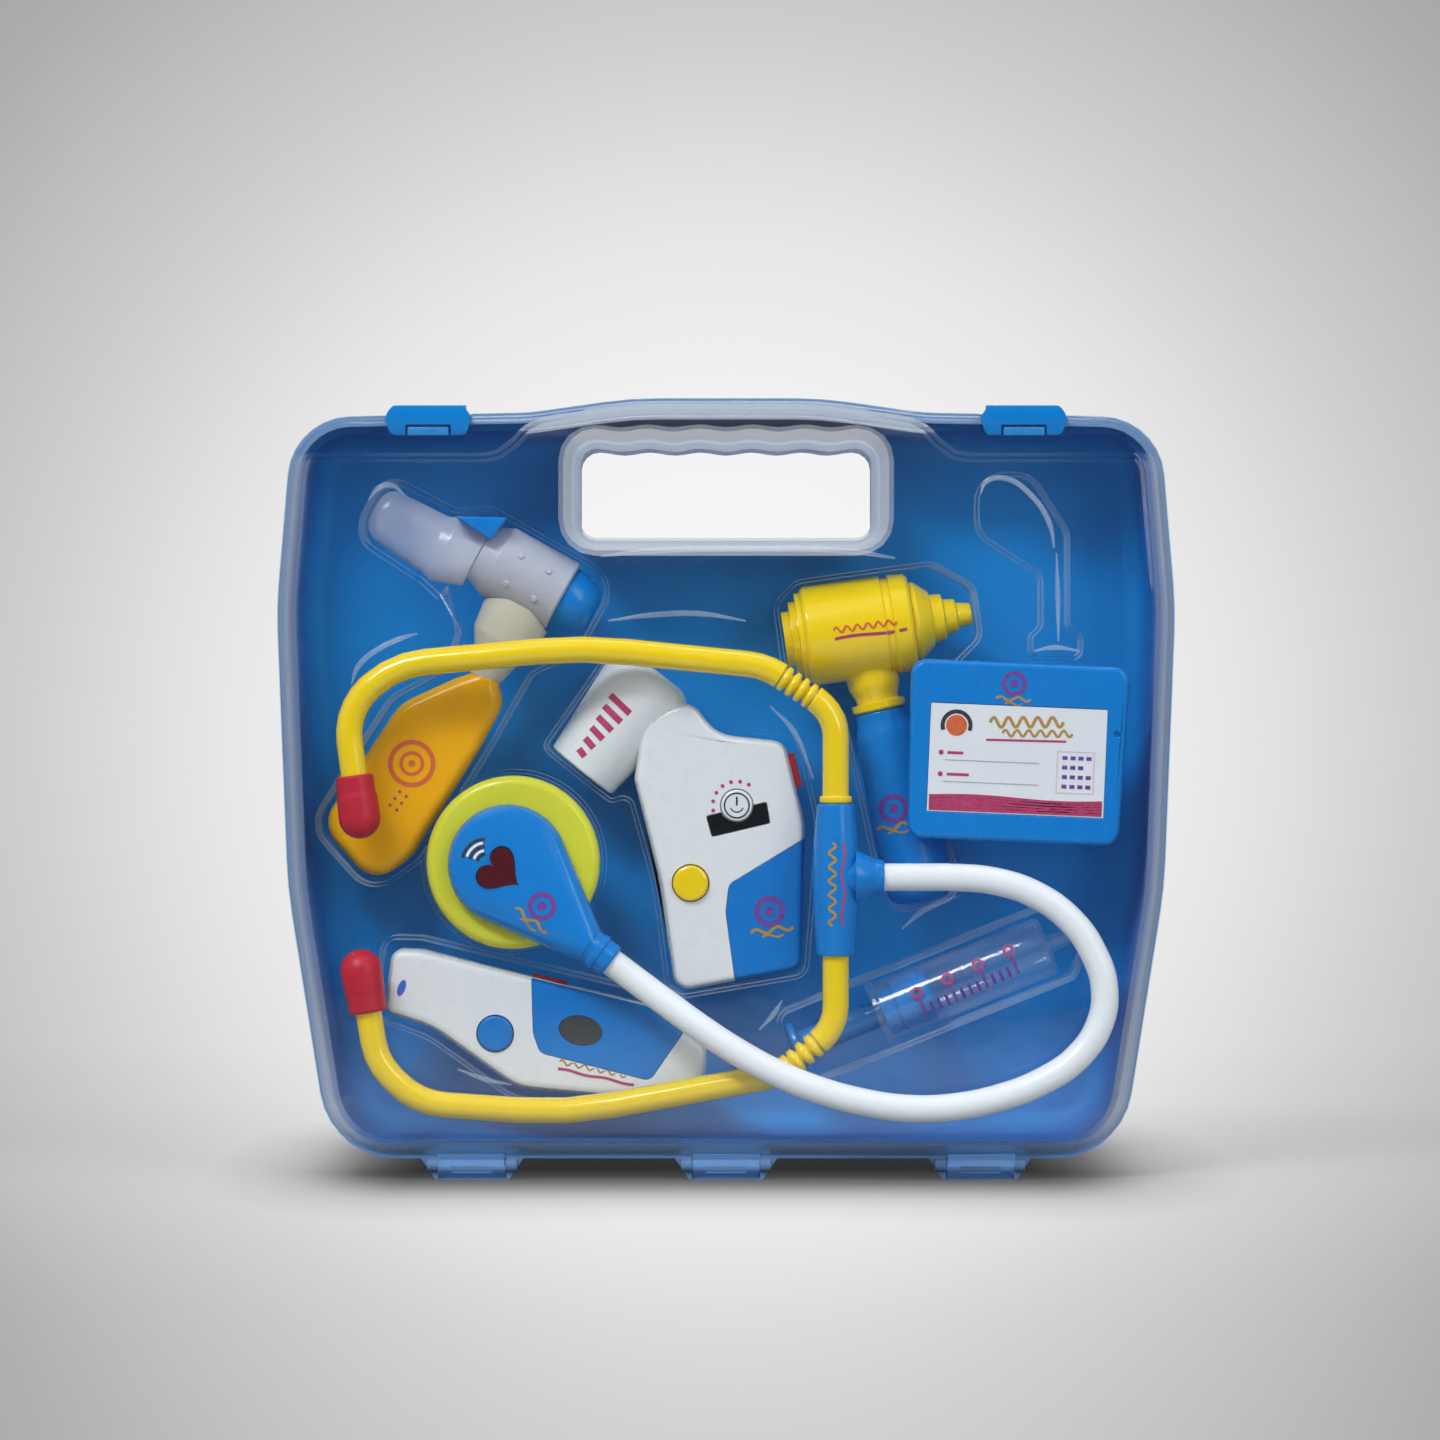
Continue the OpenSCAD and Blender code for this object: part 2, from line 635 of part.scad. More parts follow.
// Pulse gun
gun_front_y = sheet_y + 3.2;
gun_mid = gun_front_y + gun_t / 2;
gun_muzzle = [-46, 128.5];
gun_angle = 51.5;
gun_line = outline([[-29, 126, 4], [-20.6, 92, 60], [-16, 58.8, 5], [24, 66, 4], [25, 112, 25],
    [18.5, 138, 5], [-3, 140.3, 12], [-11, 151, 6], [-26, 146, 6]]);
gun_edge = unit([25 - 18.5, 112 - 138]);
gun_trigger_pos = [18.5, 138] + 9.6 * gun_edge;
gun_trigger_angle = atan2(gun_edge[1], gun_edge[0]);
gun_button_pos = [-11.2, 93.3];
dial_pos = [3.4, 117.8];

module gun_barrel() {
    tool(gun_muzzle[0], gun_mid, gun_muzzle[1], gun_angle) lathe(concat(
        [[5, 0], [5, muzzle_r - 2], [0.6, muzzle_r - 1.6], [0, muzzle_r - 1], [0.6, muzzle_r]],
        [[muzzle_l, breech_r]],
        [for (a = [15 : 15 : 90]) [muzzle_l + 9 * sin(a), breech_r - 7.5 * (1 - cos(a))]],
        [[muzzle_l + 9, 0]]));
}
module gun_half(front) {
    y0 = gun_front_y;
    y1 = gun_front_y + gun_t;
    moulded(gun_line, front
        ? [[y0, 2.6], [y0 + 0.7, 1], [y0 + 2.6, 0], [gun_mid, 0]]
        : [[gun_mid, 0], [y1 - 2.6, 0], [y1 - 0.7, 1], [y1, 2.6]]);
    intersection() {
        gun_barrel();
        translate([-100, front ? gun_mid - 50 : gun_mid, 60]) cube([150, 50, 150]);
    }
}
module gun_panel_plan(d) {
    polygon(flat(outline([[45, 119.5, 3], [1, 92.8, 3.4], [0, 84, 6], [4.6, 50, 3], [45, 50, 3]]), -d));
}
module gun_window_plan(d) {
    polygon(flat(outline([[-4.4, 107.9, 0.6], [13.9, 112.2, 0.6], [12.8, 118.8, 0.6], [-6.2, 114.4, 0.6]]), -d));
}
module gun_trigger_block(d, deep) {
    translate([gun_trigger_pos[0], gun_front_y + 3.4 - d, gun_trigger_pos[1]])
        rotate([0, -gun_trigger_angle, 0]) translate([-5.5 - d, 0, -deep])
            cube([11 + 2 * d, 7.6 + 2 * d, deep + 2.2]);
}
module gun_front() {
    color("whitesmoke") difference() {
        gun_half(true);
        prism(gun_front_y - 1, gun_front_y + 3.6) gun_panel_plan(0.1);
        prism(gun_front_y - 1, gun_front_y + 0.9) gun_window_plan(0.1);
        translate([dial_pos[0], gun_front_y + 1.6, dial_pos[1]]) rotate([90, 0, 0]) cylinder(r = dial_r + side_fit, h = 5);
        translate([dial_pos[0], gun_front_y + 4.6, dial_pos[1]]) rotate([90, 0, 0]) cylinder(r = 1 + pin_fit, h = 5);
        translate([gun_button_pos[0], gun_front_y + 3.3 + press, gun_button_pos[1]]) rotate([90, 0, 0])
            cylinder(r = gun_button_r + side_fit, h = 8);
        gun_trigger_block(side_fit, 6.8);
    }
}
module gun_rear() {
    color("whitesmoke") gun_half(false);
}
module gun_panel() {
    color("dodgerblue") intersection() {
        gun_half(true);
        prism(gun_front_y - 1, gun_front_y + 3.5) gun_panel_plan(0);
    }
}
module gun_lens() {
    color("dimgray") tool(gun_muzzle[0], gun_mid, gun_muzzle[1], gun_angle)
        translate([3.2, 0, 0]) rotate([0, 90, 0]) cylinder(r = muzzle_r - 2.2, h = 1.7);
}
module gun_button() {
    color("gold") translate([gun_button_pos[0], gun_front_y, gun_button_pos[1]]) rotate([0, 0, 90])
        lathe([[-2, 0], [-2, gun_button_r - 1.2], [-1.4, gun_button_r], [3, gun_button_r], [3, 0]]);
}
module gun_dial() {
    color("white") translate([dial_pos[0], gun_front_y, dial_pos[1]]) rotate([0, 0, 90])
        lathe([[-0.6, 0], [-0.6, dial_r - 0.5], [-0.2, dial_r], [1.2, dial_r], [1.2, 1], [4.2, 1], [4.2, 0]]);
}
module gun_window() {
    color("black") difference() {
        prism(gun_front_y + 0.1, gun_front_y + 0.85) gun_window_plan(0);
        translate([dial_pos[0], gun_front_y + 2, dial_pos[1]]) rotate([90, 0, 0]) cylinder(r = dial_r + side_fit, h = 5);
    }
}
module gun_trigger() {
    color("crimson") gun_trigger_block(0, 5);
}

// Thermometer
thermo_y = sheet_y + 0.4;
thermo_line = outline([[-105.5, 72.5, 4], [-108, 52.5, 3], [-93, 47.8, 24], [-66, 28.5, 18],
    [-30, 25, 60], [-6.5, 30, 5], [-6, 41.5, 5], [-24, 54.5, 12], [-96, 72.2, 10]]);
thermo_mid = thermo_y + thermo_t / 2;
thermo_button_pos = [-72.8, 45.9];
display_pos = [-45.9, 46.8];
switch_pos = [-55.6, 62.25];
switch_angle = atan2(54.5 - 72.2, -24 + 96);

module thermo_half(front) {
    y0 = thermo_y;
    y1 = thermo_y + thermo_t;
    moulded(thermo_line, front
        ? [[y0, 3], [y0 + 0.8, 1.1], [y0 + 2.8, 0], [thermo_mid, 0]]
        : [[thermo_mid, 0], [y1 - 2.8, 0], [y1 - 0.8, 1.1], [y1, 3]]);
}
module thermo_panel_plan(d) {
    polygon(flat(outline([[-61.6, 75, 3], [-60.8, 46, 8], [-58.6, 39.8, 3], [-24, 31, 3], [-13, 47, 3], [-13, 75, 3]]), -d));
}
module oval(d) {
    translate(display_pos) rotate(-12) scale([1, 0.68]) circle(r = 6.8 + d);
}
module thermo_switch_block(d, deep) {
    translate([switch_pos[0], thermo_y + 3.4 - d, switch_pos[1]]) rotate([0, -switch_angle, 0])
        translate([-switch_l / 2 - d, 0, -deep]) cube([switch_l + 2 * d, 3.2 + 2 * d, deep + 1.2]);
}
module switch_slot() {
    translate([switch_pos[0], thermo_y + 3.4 - side_fit, switch_pos[1]]) rotate([0, -switch_angle, 0])
        translate([-switch_l / 2 - side_fit, 0, -3.2])
            cube([switch_l + 3 + 2 * side_fit, 3.2 + 2 * side_fit, 6]);
}
module thermo_front() {
    color("whitesmoke") difference() {
        thermo_half(true);
        prism(thermo_y - 1, thermo_y + 2.6) thermo_panel_plan(0.1);
        translate([thermo_button_pos[0], thermo_y + 3.3 + press, thermo_button_pos[1]]) rotate([90, 0, 0])
            cylinder(r = thermo_button_r + side_fit, h = 8);
        switch_slot();
    }
}
module thermo_rear() {
    color("whitesmoke") thermo_half(false);
}
module thermo_panel() {
    color("dodgerblue") difference() {
        intersection() {
            thermo_half(true);
            prism(thermo_y - 1, thermo_y + 2.5) thermo_panel_plan(0);
        }
        prism(thermo_y - 1, thermo_y + 1.1) oval(0.1);
        switch_slot();
    }
}
module thermo_button() {
    color("dodgerblue") translate([thermo_button_pos[0], thermo_y, thermo_button_pos[1]]) rotate([0, 0, 90])
        lathe([[-1.2, 0], [-1.2, thermo_button_r - 1], [-0.7, thermo_button_r], [3, thermo_button_r], [3, 0]]);
}
module thermo_display() {
    color("dimgray") prism(thermo_y + 0.2, thermo_y + 1) oval(0);
}
module thermo_switch() {
    color("crimson") thermo_switch_block(0, 2.8);
}

// Reflex hammer
hammer_pos = [-51.8, 183.7];
hammer_angle = -29;
hammer_y = sheet_y + 13;
hammer_line = outline([[-74, 162, 5], [-86, 158, 8], [-103.5, 150, 16], [-128.5, 111.5, 9],
    [-112, 92.5, 9], [-99.5, 101.5, 10], [-78.5, 135, 60], [-70.5, 150, 9]]);
module hammer_handle() {
    y0 = hammer_y - hammer_t / 2;
    y1 = hammer_y + hammer_t / 2;
    color("orange") difference() {
        moulded(hammer_line, [[y0, 4], [y0 + 0.9, 1.6], [y0 + 3, 0], [y1 - 3, 0], [y1 - 0.9, 1.6], [y1, 4]]);
        hammer_socket_solid(0.1);
    }
}
module hammer_socket_solid(d) {
    tool(-77, hammer_y, 158, 63) lathe([[-d, 0], [-d, 5.2 + d], [8, 6.8 + d], [14 + d, 9 + d], [26, 9], [26, 0]]);
}
module hammer_socket() {
    color("gainsboro") difference() {
        hammer_socket_solid(0);
        tool(hammer_pos[0], hammer_y, hammer_pos[1], hammer_angle) translate([-60, 0, 0])
            rotate([0, 90, 0]) cylinder(r = sleeve_r + 0.1, h = 90);
    }
}
module hammer_sleeve() {
    color("gainsboro", 0.7) tool(hammer_pos[0], hammer_y, hammer_pos[1], hammer_angle) {
        difference() {
            lathe([[-sleeve_l - 5, 0], [-sleeve_l - 5, 9.4], [-sleeve_l, sleeve_r - 0.5],
                [-sleeve_l + 1, sleeve_r], [-0.6, sleeve_r], [0, sleeve_r - 0.6], [0, 0]]);
            translate([-sleeve_l, 0, 0]) rotate([0, 90, 0]) cylinder(r = sleeve_r - sleeve_wall, h = 90);
            translate([-sleeve_l - 10, 0, 0]) rotate([0, 90, 0]) cylinder(r = 7.6, h = 90);
        }
        for (x = [-17.5, -7.5], a = [-24, 24]) rotate([a, 0, 0]) translate([x, -sleeve_r + 0.3, 0])
            rotate([90, 0, 0]) cylinder(r1 = 1.3, r2 = 0.8, h = 1);
    }
}
module hammer_core() {
    r = sleeve_r - sleeve_wall - 0.1;
    color("dodgerblue") tool(hammer_pos[0], hammer_y, hammer_pos[1], hammer_angle) lathe(concat(
        [[-sleeve_l + 0.1, 0], [-sleeve_l + 0.1, r], [0, r]],
        [for (a = [15 : 15 : 90]) [11 * sin(a), r * (0.45 + 0.55 * cos(a))]], [[11, 0]]));
}
module hammer_tip() {
    x = -sleeve_l - 5.2;
    end = -sleeve_l - 8.7 - hammer_tip_l;
    color("gainsboro", 0.7) tool(hammer_pos[0], hammer_y, hammer_pos[1], hammer_angle) lathe(concat(
        [[x, 0], [x, 9.4], [x - 10, 9], [x - 14, hammer_tip_r + 0.5], [end + 5, hammer_tip_r - 0.5]],
        [for (a = [15 : 15 : 90])
            [end + 5 - 5 * sin(a), (hammer_tip_r - 0.5) * (0.3 + 0.7 * cos(a))]],
        [[end, 0]]));
}

// Ear scope
scope_pos = [18.6, 170.4];
scope_angle = 8;
scope_y = sheet_y + scope_r - 0.8;
scope_top = [49, 148];
scope_tilt = -77.5;
scope_foot = scope_top + scope_grip_l * [cos(scope_tilt), sin(scope_tilt)];
module scope_solid(d) {
    l = 7 + scope_l;
    tool(scope_pos[0], scope_y, scope_pos[1], scope_angle) lathe([
        [-d, 0], [-d, 8.8 + d], [2.2, 8.8 + d], [2.6, 11.6 + d], [4.4, 11.6 + d], [4.8, 14.2 + d],
        [6.2, 14.2 + d], [7, scope_r - 0.6 + d], [8, scope_r + d], [l - 9, scope_r + d], [l - 8.4, scope_r - 0.8 + d],
        [l - 6.6, scope_r - 0.8 + d], [l - 6, scope_r + d], [l - 1, scope_r - 0.4 + d], [l + d, scope_r - 1.4 + d], [l + d, 0]]);
}
module scope_head() {
    color("gold") {
        scope_solid(0);
        difference() {
            tool(scope_top[0], scope_y, scope_top[1], scope_tilt) lathe([[-22, 0], [-22, 9], [-8, 8.4],
                [-4, 6.8], [-3, 6.8], [-2.6, 8.6], [-0.6, 8.6], [0, 8], [0, 0]]);
            scope_solid(-0.5);
        }
    }
}
module scope_nozzle() {
    x = 7 + scope_l + 0.1;
    color("gold") tool(scope_pos[0], scope_y, scope_pos[1], scope_angle) lathe([[x, 0], [x, 12.6], [x + 1.6, 12.6],
        [x + 6, 9], [x + 6.4, 7.8], [x + 10, 7.6], [x + 10.4, 5.8], [x + 14, 5.4], [x + 14.4, 4.2], [x + 18.6, 3.4],
        [x + 19, 3], [x + 19, 0]]);
}
module scope_handle() {
    r = scope_grip_r;
    color("dodgerblue") tool(scope_top[0], scope_y, scope_top[1], scope_tilt) lathe(concat(
        [[0.1, 0], [0.1, 7.6], [1, 8], [3, 8], [8, r - 1.2], [16, r - 0.6], [scope_grip_l * 0.6, r]],
        arc(scope_grip_l - 5, r - 5, 5, 90, 0, 6), [[scope_grip_l, 0]]));
}

// Syringe
syringe_pos = [77.2, 63.2];
syringe_angle = 22;
syringe_y = sheet_y + 11.2;
module in_syringe() {
    tool(syringe_pos[0], syringe_y, syringe_pos[1], syringe_angle) translate([-syringe_l / 2 - 2.5, 0, 0]) children();
}
module syringe_barrel() {
    r = syringe_r - syringe_wall;
    l = syringe_l;
    color("aliceblue", 0.4) in_syringe() lathe([[0, r], [0, syringe_r + 1.2], [2, syringe_r + 1.2], [2.4, syringe_r],
        [l - 1, syringe_r], [l, syringe_r - 1], [l, 3], [l + 7.5, 2], [l + 7.5, 1.2], [l - 1.2, 1.2],
        [l - 1.2, r]]);
}
module syringe_plunger() {
    color("lightskyblue") in_syringe() {
        lathe([[-28, 0], [-28, thumb_r - 0.6], [-27.5, thumb_r], [-26, thumb_r], [-25.4, thumb_r - 0.6],
            [-25.4, rod_r + 1], [-24, rod_r], [2.2, rod_r], [2.2, 0]]);
    }
}
module syringe_piston() {
    r = syringe_r - syringe_wall - pin_fit;
    color("dodgerblue") in_syringe() lathe([[2.3, 0], [2.3, r], [5, r], [5.4, r - 0.8], [7, r - 0.8], [7.4, r],
        [piston_l, r], [piston_l + 2, r - 3], [piston_l + 2, 0]]);
}

// Badge
badge_pos = [91.6, 134.6];
badge_angle = -2.4;
badge_y = sheet_y - 0.3 - badge_t;
badge_line = outline([[-badge_w / 2 + 1, -badge_h / 2, 5], [badge_w / 2 - 1.6, -badge_h / 2, 5],
    [badge_w / 2, badge_h / 2, 5], [-badge_w / 2, badge_h / 2, 5]]);
module badge_frame() {
    color("dodgerblue") tool(badge_pos[0], 0, badge_pos[1], badge_angle) difference() {
        moulded(badge_line, [[badge_y, 1.8], [badge_y + 0.5, 0.6], [badge_y + 1.6, 0],
            [badge_y + badge_t - 0.8, 0], [badge_y + badge_t, 0.8]]);
        translate([-card_w / 2 - 0.1, badge_y - 1, -card_h / 2 - 2.6]) cube([card_w + 0.2, 1.9, card_h + 0.2]);
        translate([badge_w / 2 - 3.6, badge_y - 1, 7]) rotate([-90, 0, 0]) cylinder(r = 0.9, h = badge_t + 2);
    }
}
module badge_card() {
    color("white") tool(badge_pos[0], 0, badge_pos[1], badge_angle)
        translate([-card_w / 2, badge_y + 0.3, -card_h / 2 - 2.5]) cube([card_w, 0.55, card_h]);
}

// Pockets of the tray: outline of each, and its floor just behind what lies there
function in_tool(p, a, x, y, r) =
    [p[0] + x * cos(a) - y * sin(a), p[1] + x * sin(a) + y * cos(a), r];
function gun_at(x, y, r) = in_tool(gun_muzzle, gun_angle, x, y, r);
function hammer_at(x, y, r) = in_tool(hammer_pos, hammer_angle, x, y, r);
function scope_at(x, y, r) = in_tool(scope_pos, scope_angle, x, y, r);
function grip_at(x, y, r) = in_tool(scope_top, scope_tilt, x, y, r);
function syringe_at(x, y, r) = in_tool(syringe_pos, syringe_angle, x, y, r);
gf = pocket_fit;
gun_pocket = outline([[-16.8 - gf, 58.2 - gf, 5], [24 + gf, 65.4 - gf, 4], [27.8 + gf, 112, 25],
    [21.4 + gf, 138.6 + gf, 4], [-2, 140.8 + gf, 8], gun_at(muzzle_l + 9 + gf, -breech_r - gf, 9),
    gun_at(muzzle_l + 9 + gf, breech_r + gf, 9), gun_at(-gf, muzzle_r + 0.6 + gf, 2),
    gun_at(-gf, -muzzle_r - 0.6 - gf, 2), [-29.6 - gf, 123, 4], [-21 - gf, 92, 60]]);
thermo_pocket = outline([[-109.5 - gf, 51, 4], [-93.8, 46 - gf, 24], [-67, 26.6 - gf, 18], [-30, 22.8 - gf, 60],
    [-4.6 + gf, 28.2 - gf, 5], [-4.2 + gf, 43.4, 5], [-23, 57 + gf, 12], [-96, 74.5 + gf, 10], [-106.8 - gf, 74.8 + gf, 4]]);
hammer_back = sleeve_l + 8.7 + hammer_tip_l;
hammer_pocket = outline([hammer_at(12, -sleeve_r - gf, 9), hammer_at(12, sleeve_r + gf, 9),
    hammer_at(-sleeve_l - 9, sleeve_r + gf, 7), hammer_at(-sleeve_l - 18, hammer_tip_r + 1 + gf, 7),
    hammer_at(-hammer_back - gf, hammer_tip_r + gf, 6), hammer_at(-hammer_back - gf, -hammer_tip_r - gf, 6),
    hammer_at(-sleeve_l - 18, -hammer_tip_r - 1 - gf, 7), hammer_at(-sleeve_l - 9, -sleeve_r - gf, 7),
    [-84, 172, 5], [-88 - gf, 160.5, 6], [-104.8 - gf, 151.5, 14], [-130 - gf, 111.5, 9], [-112, 91 - gf, 9],
    [-98 + gf, 101, 10], [-77.3 + gf, 134.5, 40], [-63 + gf, 160, 8]]);
scope_end = 7 + scope_l + 19.1;
scope_pocket = outline([grip_at(scope_grip_l + gf, -scope_grip_r - gf, 6), grip_at(scope_grip_l + gf, scope_grip_r + gf, 6),
    grip_at(6, scope_grip_r + gf, 4), scope_at(scope_end - 11, -scope_r - gf, 5), scope_at(scope_end + gf, -8, 5),
    scope_at(scope_end + gf, 8, 5), scope_at(scope_end - 11, scope_r + gf, 5), scope_at(6, scope_r + gf, 6),
    scope_at(-gf, 11, 4), scope_at(-gf, -11, 4), scope_at(6, -scope_r - gf, 6), grip_at(-2, -scope_grip_r - gf, 4)]);
syringe_half = syringe_r + 1.2 + gf;
syringe_pocket = outline([syringe_at(-syringe_l / 2 - 31.5, -syringe_half, 4), syringe_at(syringe_l / 2 + gf, -syringe_half, 4),
    syringe_at(syringe_l / 2 + 7, -5, 3), syringe_at(syringe_l / 2 + 7, 5, 3),
    syringe_at(syringe_l / 2 + gf, syringe_half, 4), syringe_at(-syringe_l / 2 - 31.5, syringe_half, 4)]);
chest_pocket = [for (t = [0 : 7.5 : 359]) [chest_pos + (chest_r + gf) * [cos(t), sin(t)], [cos(t), sin(t)]]];
spare_pocket = outline([[97, 165, 2], [111.6, 165, 2], [111.6, 171, 2], [107.4, 174, 4], [107.4, 204, 6],
    [96, 222, 8], [80, 222, 8], [80, 204, 8], [100.2, 191, 5], [100.2, 174, 4], [97, 171, 2]]);
pockets = [gun_pocket, thermo_pocket, hammer_pocket, scope_pocket, syringe_pocket, chest_pocket, spare_pocket];
deep_floor = max(gun_mid + breech_r, scope_y + scope_r) + seat_fit;
floors = [deep_floor, thermo_y + thermo_t + seat_fit, hammer_y + sleeve_r + seat_fit, deep_floor,
    syringe_y + syringe_r + 1.2 + seat_fit, chest_y + chest_t + 0.6 + seat_fit, sheet_y + 13];

base_shell();
lid_shell();
latch_left();
latch_right();
tray();
ear_tube_upper();
ear_tube_lower();
ear_tip_upper();
ear_tip_lower();
yoke();
hose();
chest_disc();
chest_diaphragm();
chest_cap();
chest_heart();
gun_front();
gun_rear();
gun_panel();
gun_lens();
gun_button();
gun_dial();
gun_window();
gun_trigger();
thermo_front();
thermo_rear();
thermo_panel();
thermo_button();
thermo_display();
thermo_switch();
hammer_handle();
hammer_socket();
hammer_sleeve();
hammer_core();
hammer_tip();
scope_head();
scope_nozzle();
scope_handle();
syringe_barrel();
syringe_plunger();
syringe_piston();
badge_frame();
badge_card();
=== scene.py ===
"""Toy doctor case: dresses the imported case, its clear lid, formed tray and play instruments."""

import logging
import math
from collections.abc import Callable, Iterator
from contextlib import contextmanager
from dataclasses import dataclass, field
from enum import Enum
from typing import Any, ClassVar

import bpy
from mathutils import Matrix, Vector

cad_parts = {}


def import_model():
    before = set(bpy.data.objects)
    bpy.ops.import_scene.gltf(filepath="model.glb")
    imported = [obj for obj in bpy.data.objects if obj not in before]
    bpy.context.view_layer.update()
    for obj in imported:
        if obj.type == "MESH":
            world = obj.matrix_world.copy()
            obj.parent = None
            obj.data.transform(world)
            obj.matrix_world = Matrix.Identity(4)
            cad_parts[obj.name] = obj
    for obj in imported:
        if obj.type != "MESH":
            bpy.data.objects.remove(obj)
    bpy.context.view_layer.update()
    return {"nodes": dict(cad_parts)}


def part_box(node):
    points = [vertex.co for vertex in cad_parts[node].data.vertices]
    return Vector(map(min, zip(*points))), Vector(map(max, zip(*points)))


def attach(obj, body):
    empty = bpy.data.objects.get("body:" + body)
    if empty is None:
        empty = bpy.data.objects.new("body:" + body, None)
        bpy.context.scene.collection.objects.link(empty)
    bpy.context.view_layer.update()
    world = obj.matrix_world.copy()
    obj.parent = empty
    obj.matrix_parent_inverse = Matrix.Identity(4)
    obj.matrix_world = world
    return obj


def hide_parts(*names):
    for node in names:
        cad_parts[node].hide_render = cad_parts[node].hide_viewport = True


LOG = logging.getLogger("doctor_case")
MM = 0.001
Point = tuple[float, float]
Route = list[tuple[float, float, float]]


def linear(hex_colour: str) -> tuple[float, float, float, float]:
    """Turns a written colour into the linear one that shaders use.

    Args:
        hex_colour: Six hexadecimal digits after a hash sign.

    Returns:
        Red, green, blue and an alpha of 1.
    """
    parts = [int(hex_colour[i : i + 2], 16) / 255 for i in (1, 3, 5)]
    out = [c / 12.92 if c <= 0.04045 else ((c + 0.055) / 1.055) ** 2.4 for c in parts]
    return (out[0], out[1], out[2], 1.0)


class Body(Enum):
    """The moving bodies of the case."""

    BASE = "base"
    LID = "lid"
    LATCH_L = "latch_l"
    LATCH_R = "latch_r"
    PLUNGER = "plunger"
    GUN_BUTTON = "gun_button"
    GUN_DIAL = "gun_dial"
    GUN_TRIGGER = "gun_trigger"
    THERMO_BUTTON = "thermo_button"
    THERMO_SWITCH = "thermo_switch"
    HEART = "heart_button"


class Graph:
    """The node tree of one material, built a node at a time."""

    def __init__(self, name: str) -> None:
        """Starts an empty tree.

        Args:
            name: Name of the material.
        """
        self.material = bpy.data.materials.new("finish_" + name)
        self.material.use_nodes = True
        self.tree = self.material.node_tree
        self.tree.nodes.clear()
        self.coords = self.tree.nodes.new("ShaderNodeTexCoord").outputs["Object"]
        self.out = self.tree.nodes.new("ShaderNodeOutputMaterial")

    def add(self, kind: str, settings: dict[str, Any] | None = None, **inputs: Any) -> Any:
        """Adds a node and fills its sockets.

        Args:
            kind: Node type, without its ShaderNode prefix.
            settings: Attributes of the node itself.
            **inputs: Socket values or links, a space in a name written as _.

        Returns:
            The new node.
        """
        node = self.tree.nodes.new("ShaderNode" + kind)
        for key, value in (settings or {}).items():
            setattr(node, key, value)
        for key, value in inputs.items():
            self.feed(node, key.replace("_", " "), value)
        return node

    def feed(self, node: Any, socket: str | int, value: Any) -> None:
        """Links a socket or sets its value.

        Args:
            node: The node that owns the socket.
            socket: Name or number of the input.
            value: An output socket to link, or a plain value.
        """
        if isinstance(value, bpy.types.NodeSocket):
            self.tree.links.new(value, node.inputs[socket])
        else:
            node.inputs[socket].default_value = value

    def noise(self, scale: float, detail: float = 3.0) -> Any:
        """Returns the grey output of a noise pattern on object coordinates."""
        return self.add("TexNoise", Vector=self.coords, Scale=scale, Detail=detail).outputs["Fac"]

    def spread(self, value: Any, low: float, high: float) -> Any:
        """Spreads a 0.3 to 0.7 pattern over low to high."""
        return self.ease(value, 0.3, 0.7, low, high)

    def math(self, operation: str, a: Any, b: Any = 0.0) -> Any:
        """Does one sum on two values or sockets.

        Args:
            operation: Name of the sum.
            a: Its first value.
            b: Its second value, where the sum has one.

        Returns:
            The result's output.
        """
        node = self.add("Math", {"operation": operation})
        self.feed(node, 0, a)
        self.feed(node, 1, b)
        return node.outputs[0]

    def span(self, a: Any, b: Any) -> Any:
        """Returns the distance that two distances at a right angle make."""
        square = self.math("ADD", self.math("MULTIPLY", a, a), self.math("MULTIPLY", b, b))
        return self.math("SQRT", square)

    def mix(self, factor: Any, a: Any, b: Any) -> Any:
        """Mixes two colours.

        Args:
            factor: Share of the second one.
            a: The first colour.
            b: The second colour.

        Returns:
            The mixed colour's output.
        """
        node = self.add("Mix", {"data_type": "RGBA"})
        self.feed(node, 0, factor)
        self.feed(node, 6, a)
        self.feed(node, 7, b)
        return node.outputs[2]

    def ease(self, value: Any, start: float, end: float, low: float, high: float) -> Any:
        """Maps one span onto another, level beyond both ends.

        Args:
            value: The value to map.
            start: Where the low end lies.
            end: Where the high end lies, before the start if the span runs down.
            low: Result at the start.
            high: Result at the end.

        Returns:
            The result's output.
        """
        node = self.add("MapRange", Value=value, From_Min=start, From_Max=end, To_Min=low,
                        To_Max=high)
        return node.outputs["Result"]

    def ramp(self, value: Any, stops: dict[float, str]) -> Any:
        """Reads a grey from a ramp.

        Args:
            value: Place along the ramp.
            stops: Two hexadecimal digits of grey for each place, lowest place first.

        Returns:
            The grey's output.
        """
        node = self.add("ValToRGB", Fac=value)
        elements, places = node.color_ramp.elements, list(stops)
        elements[0].position, elements[1].position = places[0], places[-1]
        for place in places[1:-1]:
            elements.new(place)
        for element, grey in zip(elements, stops.values()):
            element.color = linear("#" + grey * 3)
        return node.outputs[0]

    def blend(self, factor: Any, a: Any, b: Any) -> Any:
        """Mixes two shaders.

        Args:
            factor: Share of the second one.
            a: The first shader.
            b: The second shader.

        Returns:
            The mixed shader's output.
        """
        node = self.add("MixShader")
        self.feed(node, 0, factor)
        self.feed(node, 1, a)
        self.feed(node, 2, b)
        return node.outputs[0]

    def close(self, shader: Any) -> bpy.types.Material:
        """Links the finished shader to the surface and returns the material."""
        self.tree.links.new(shader, self.out.inputs["Surface"])
        return self.material


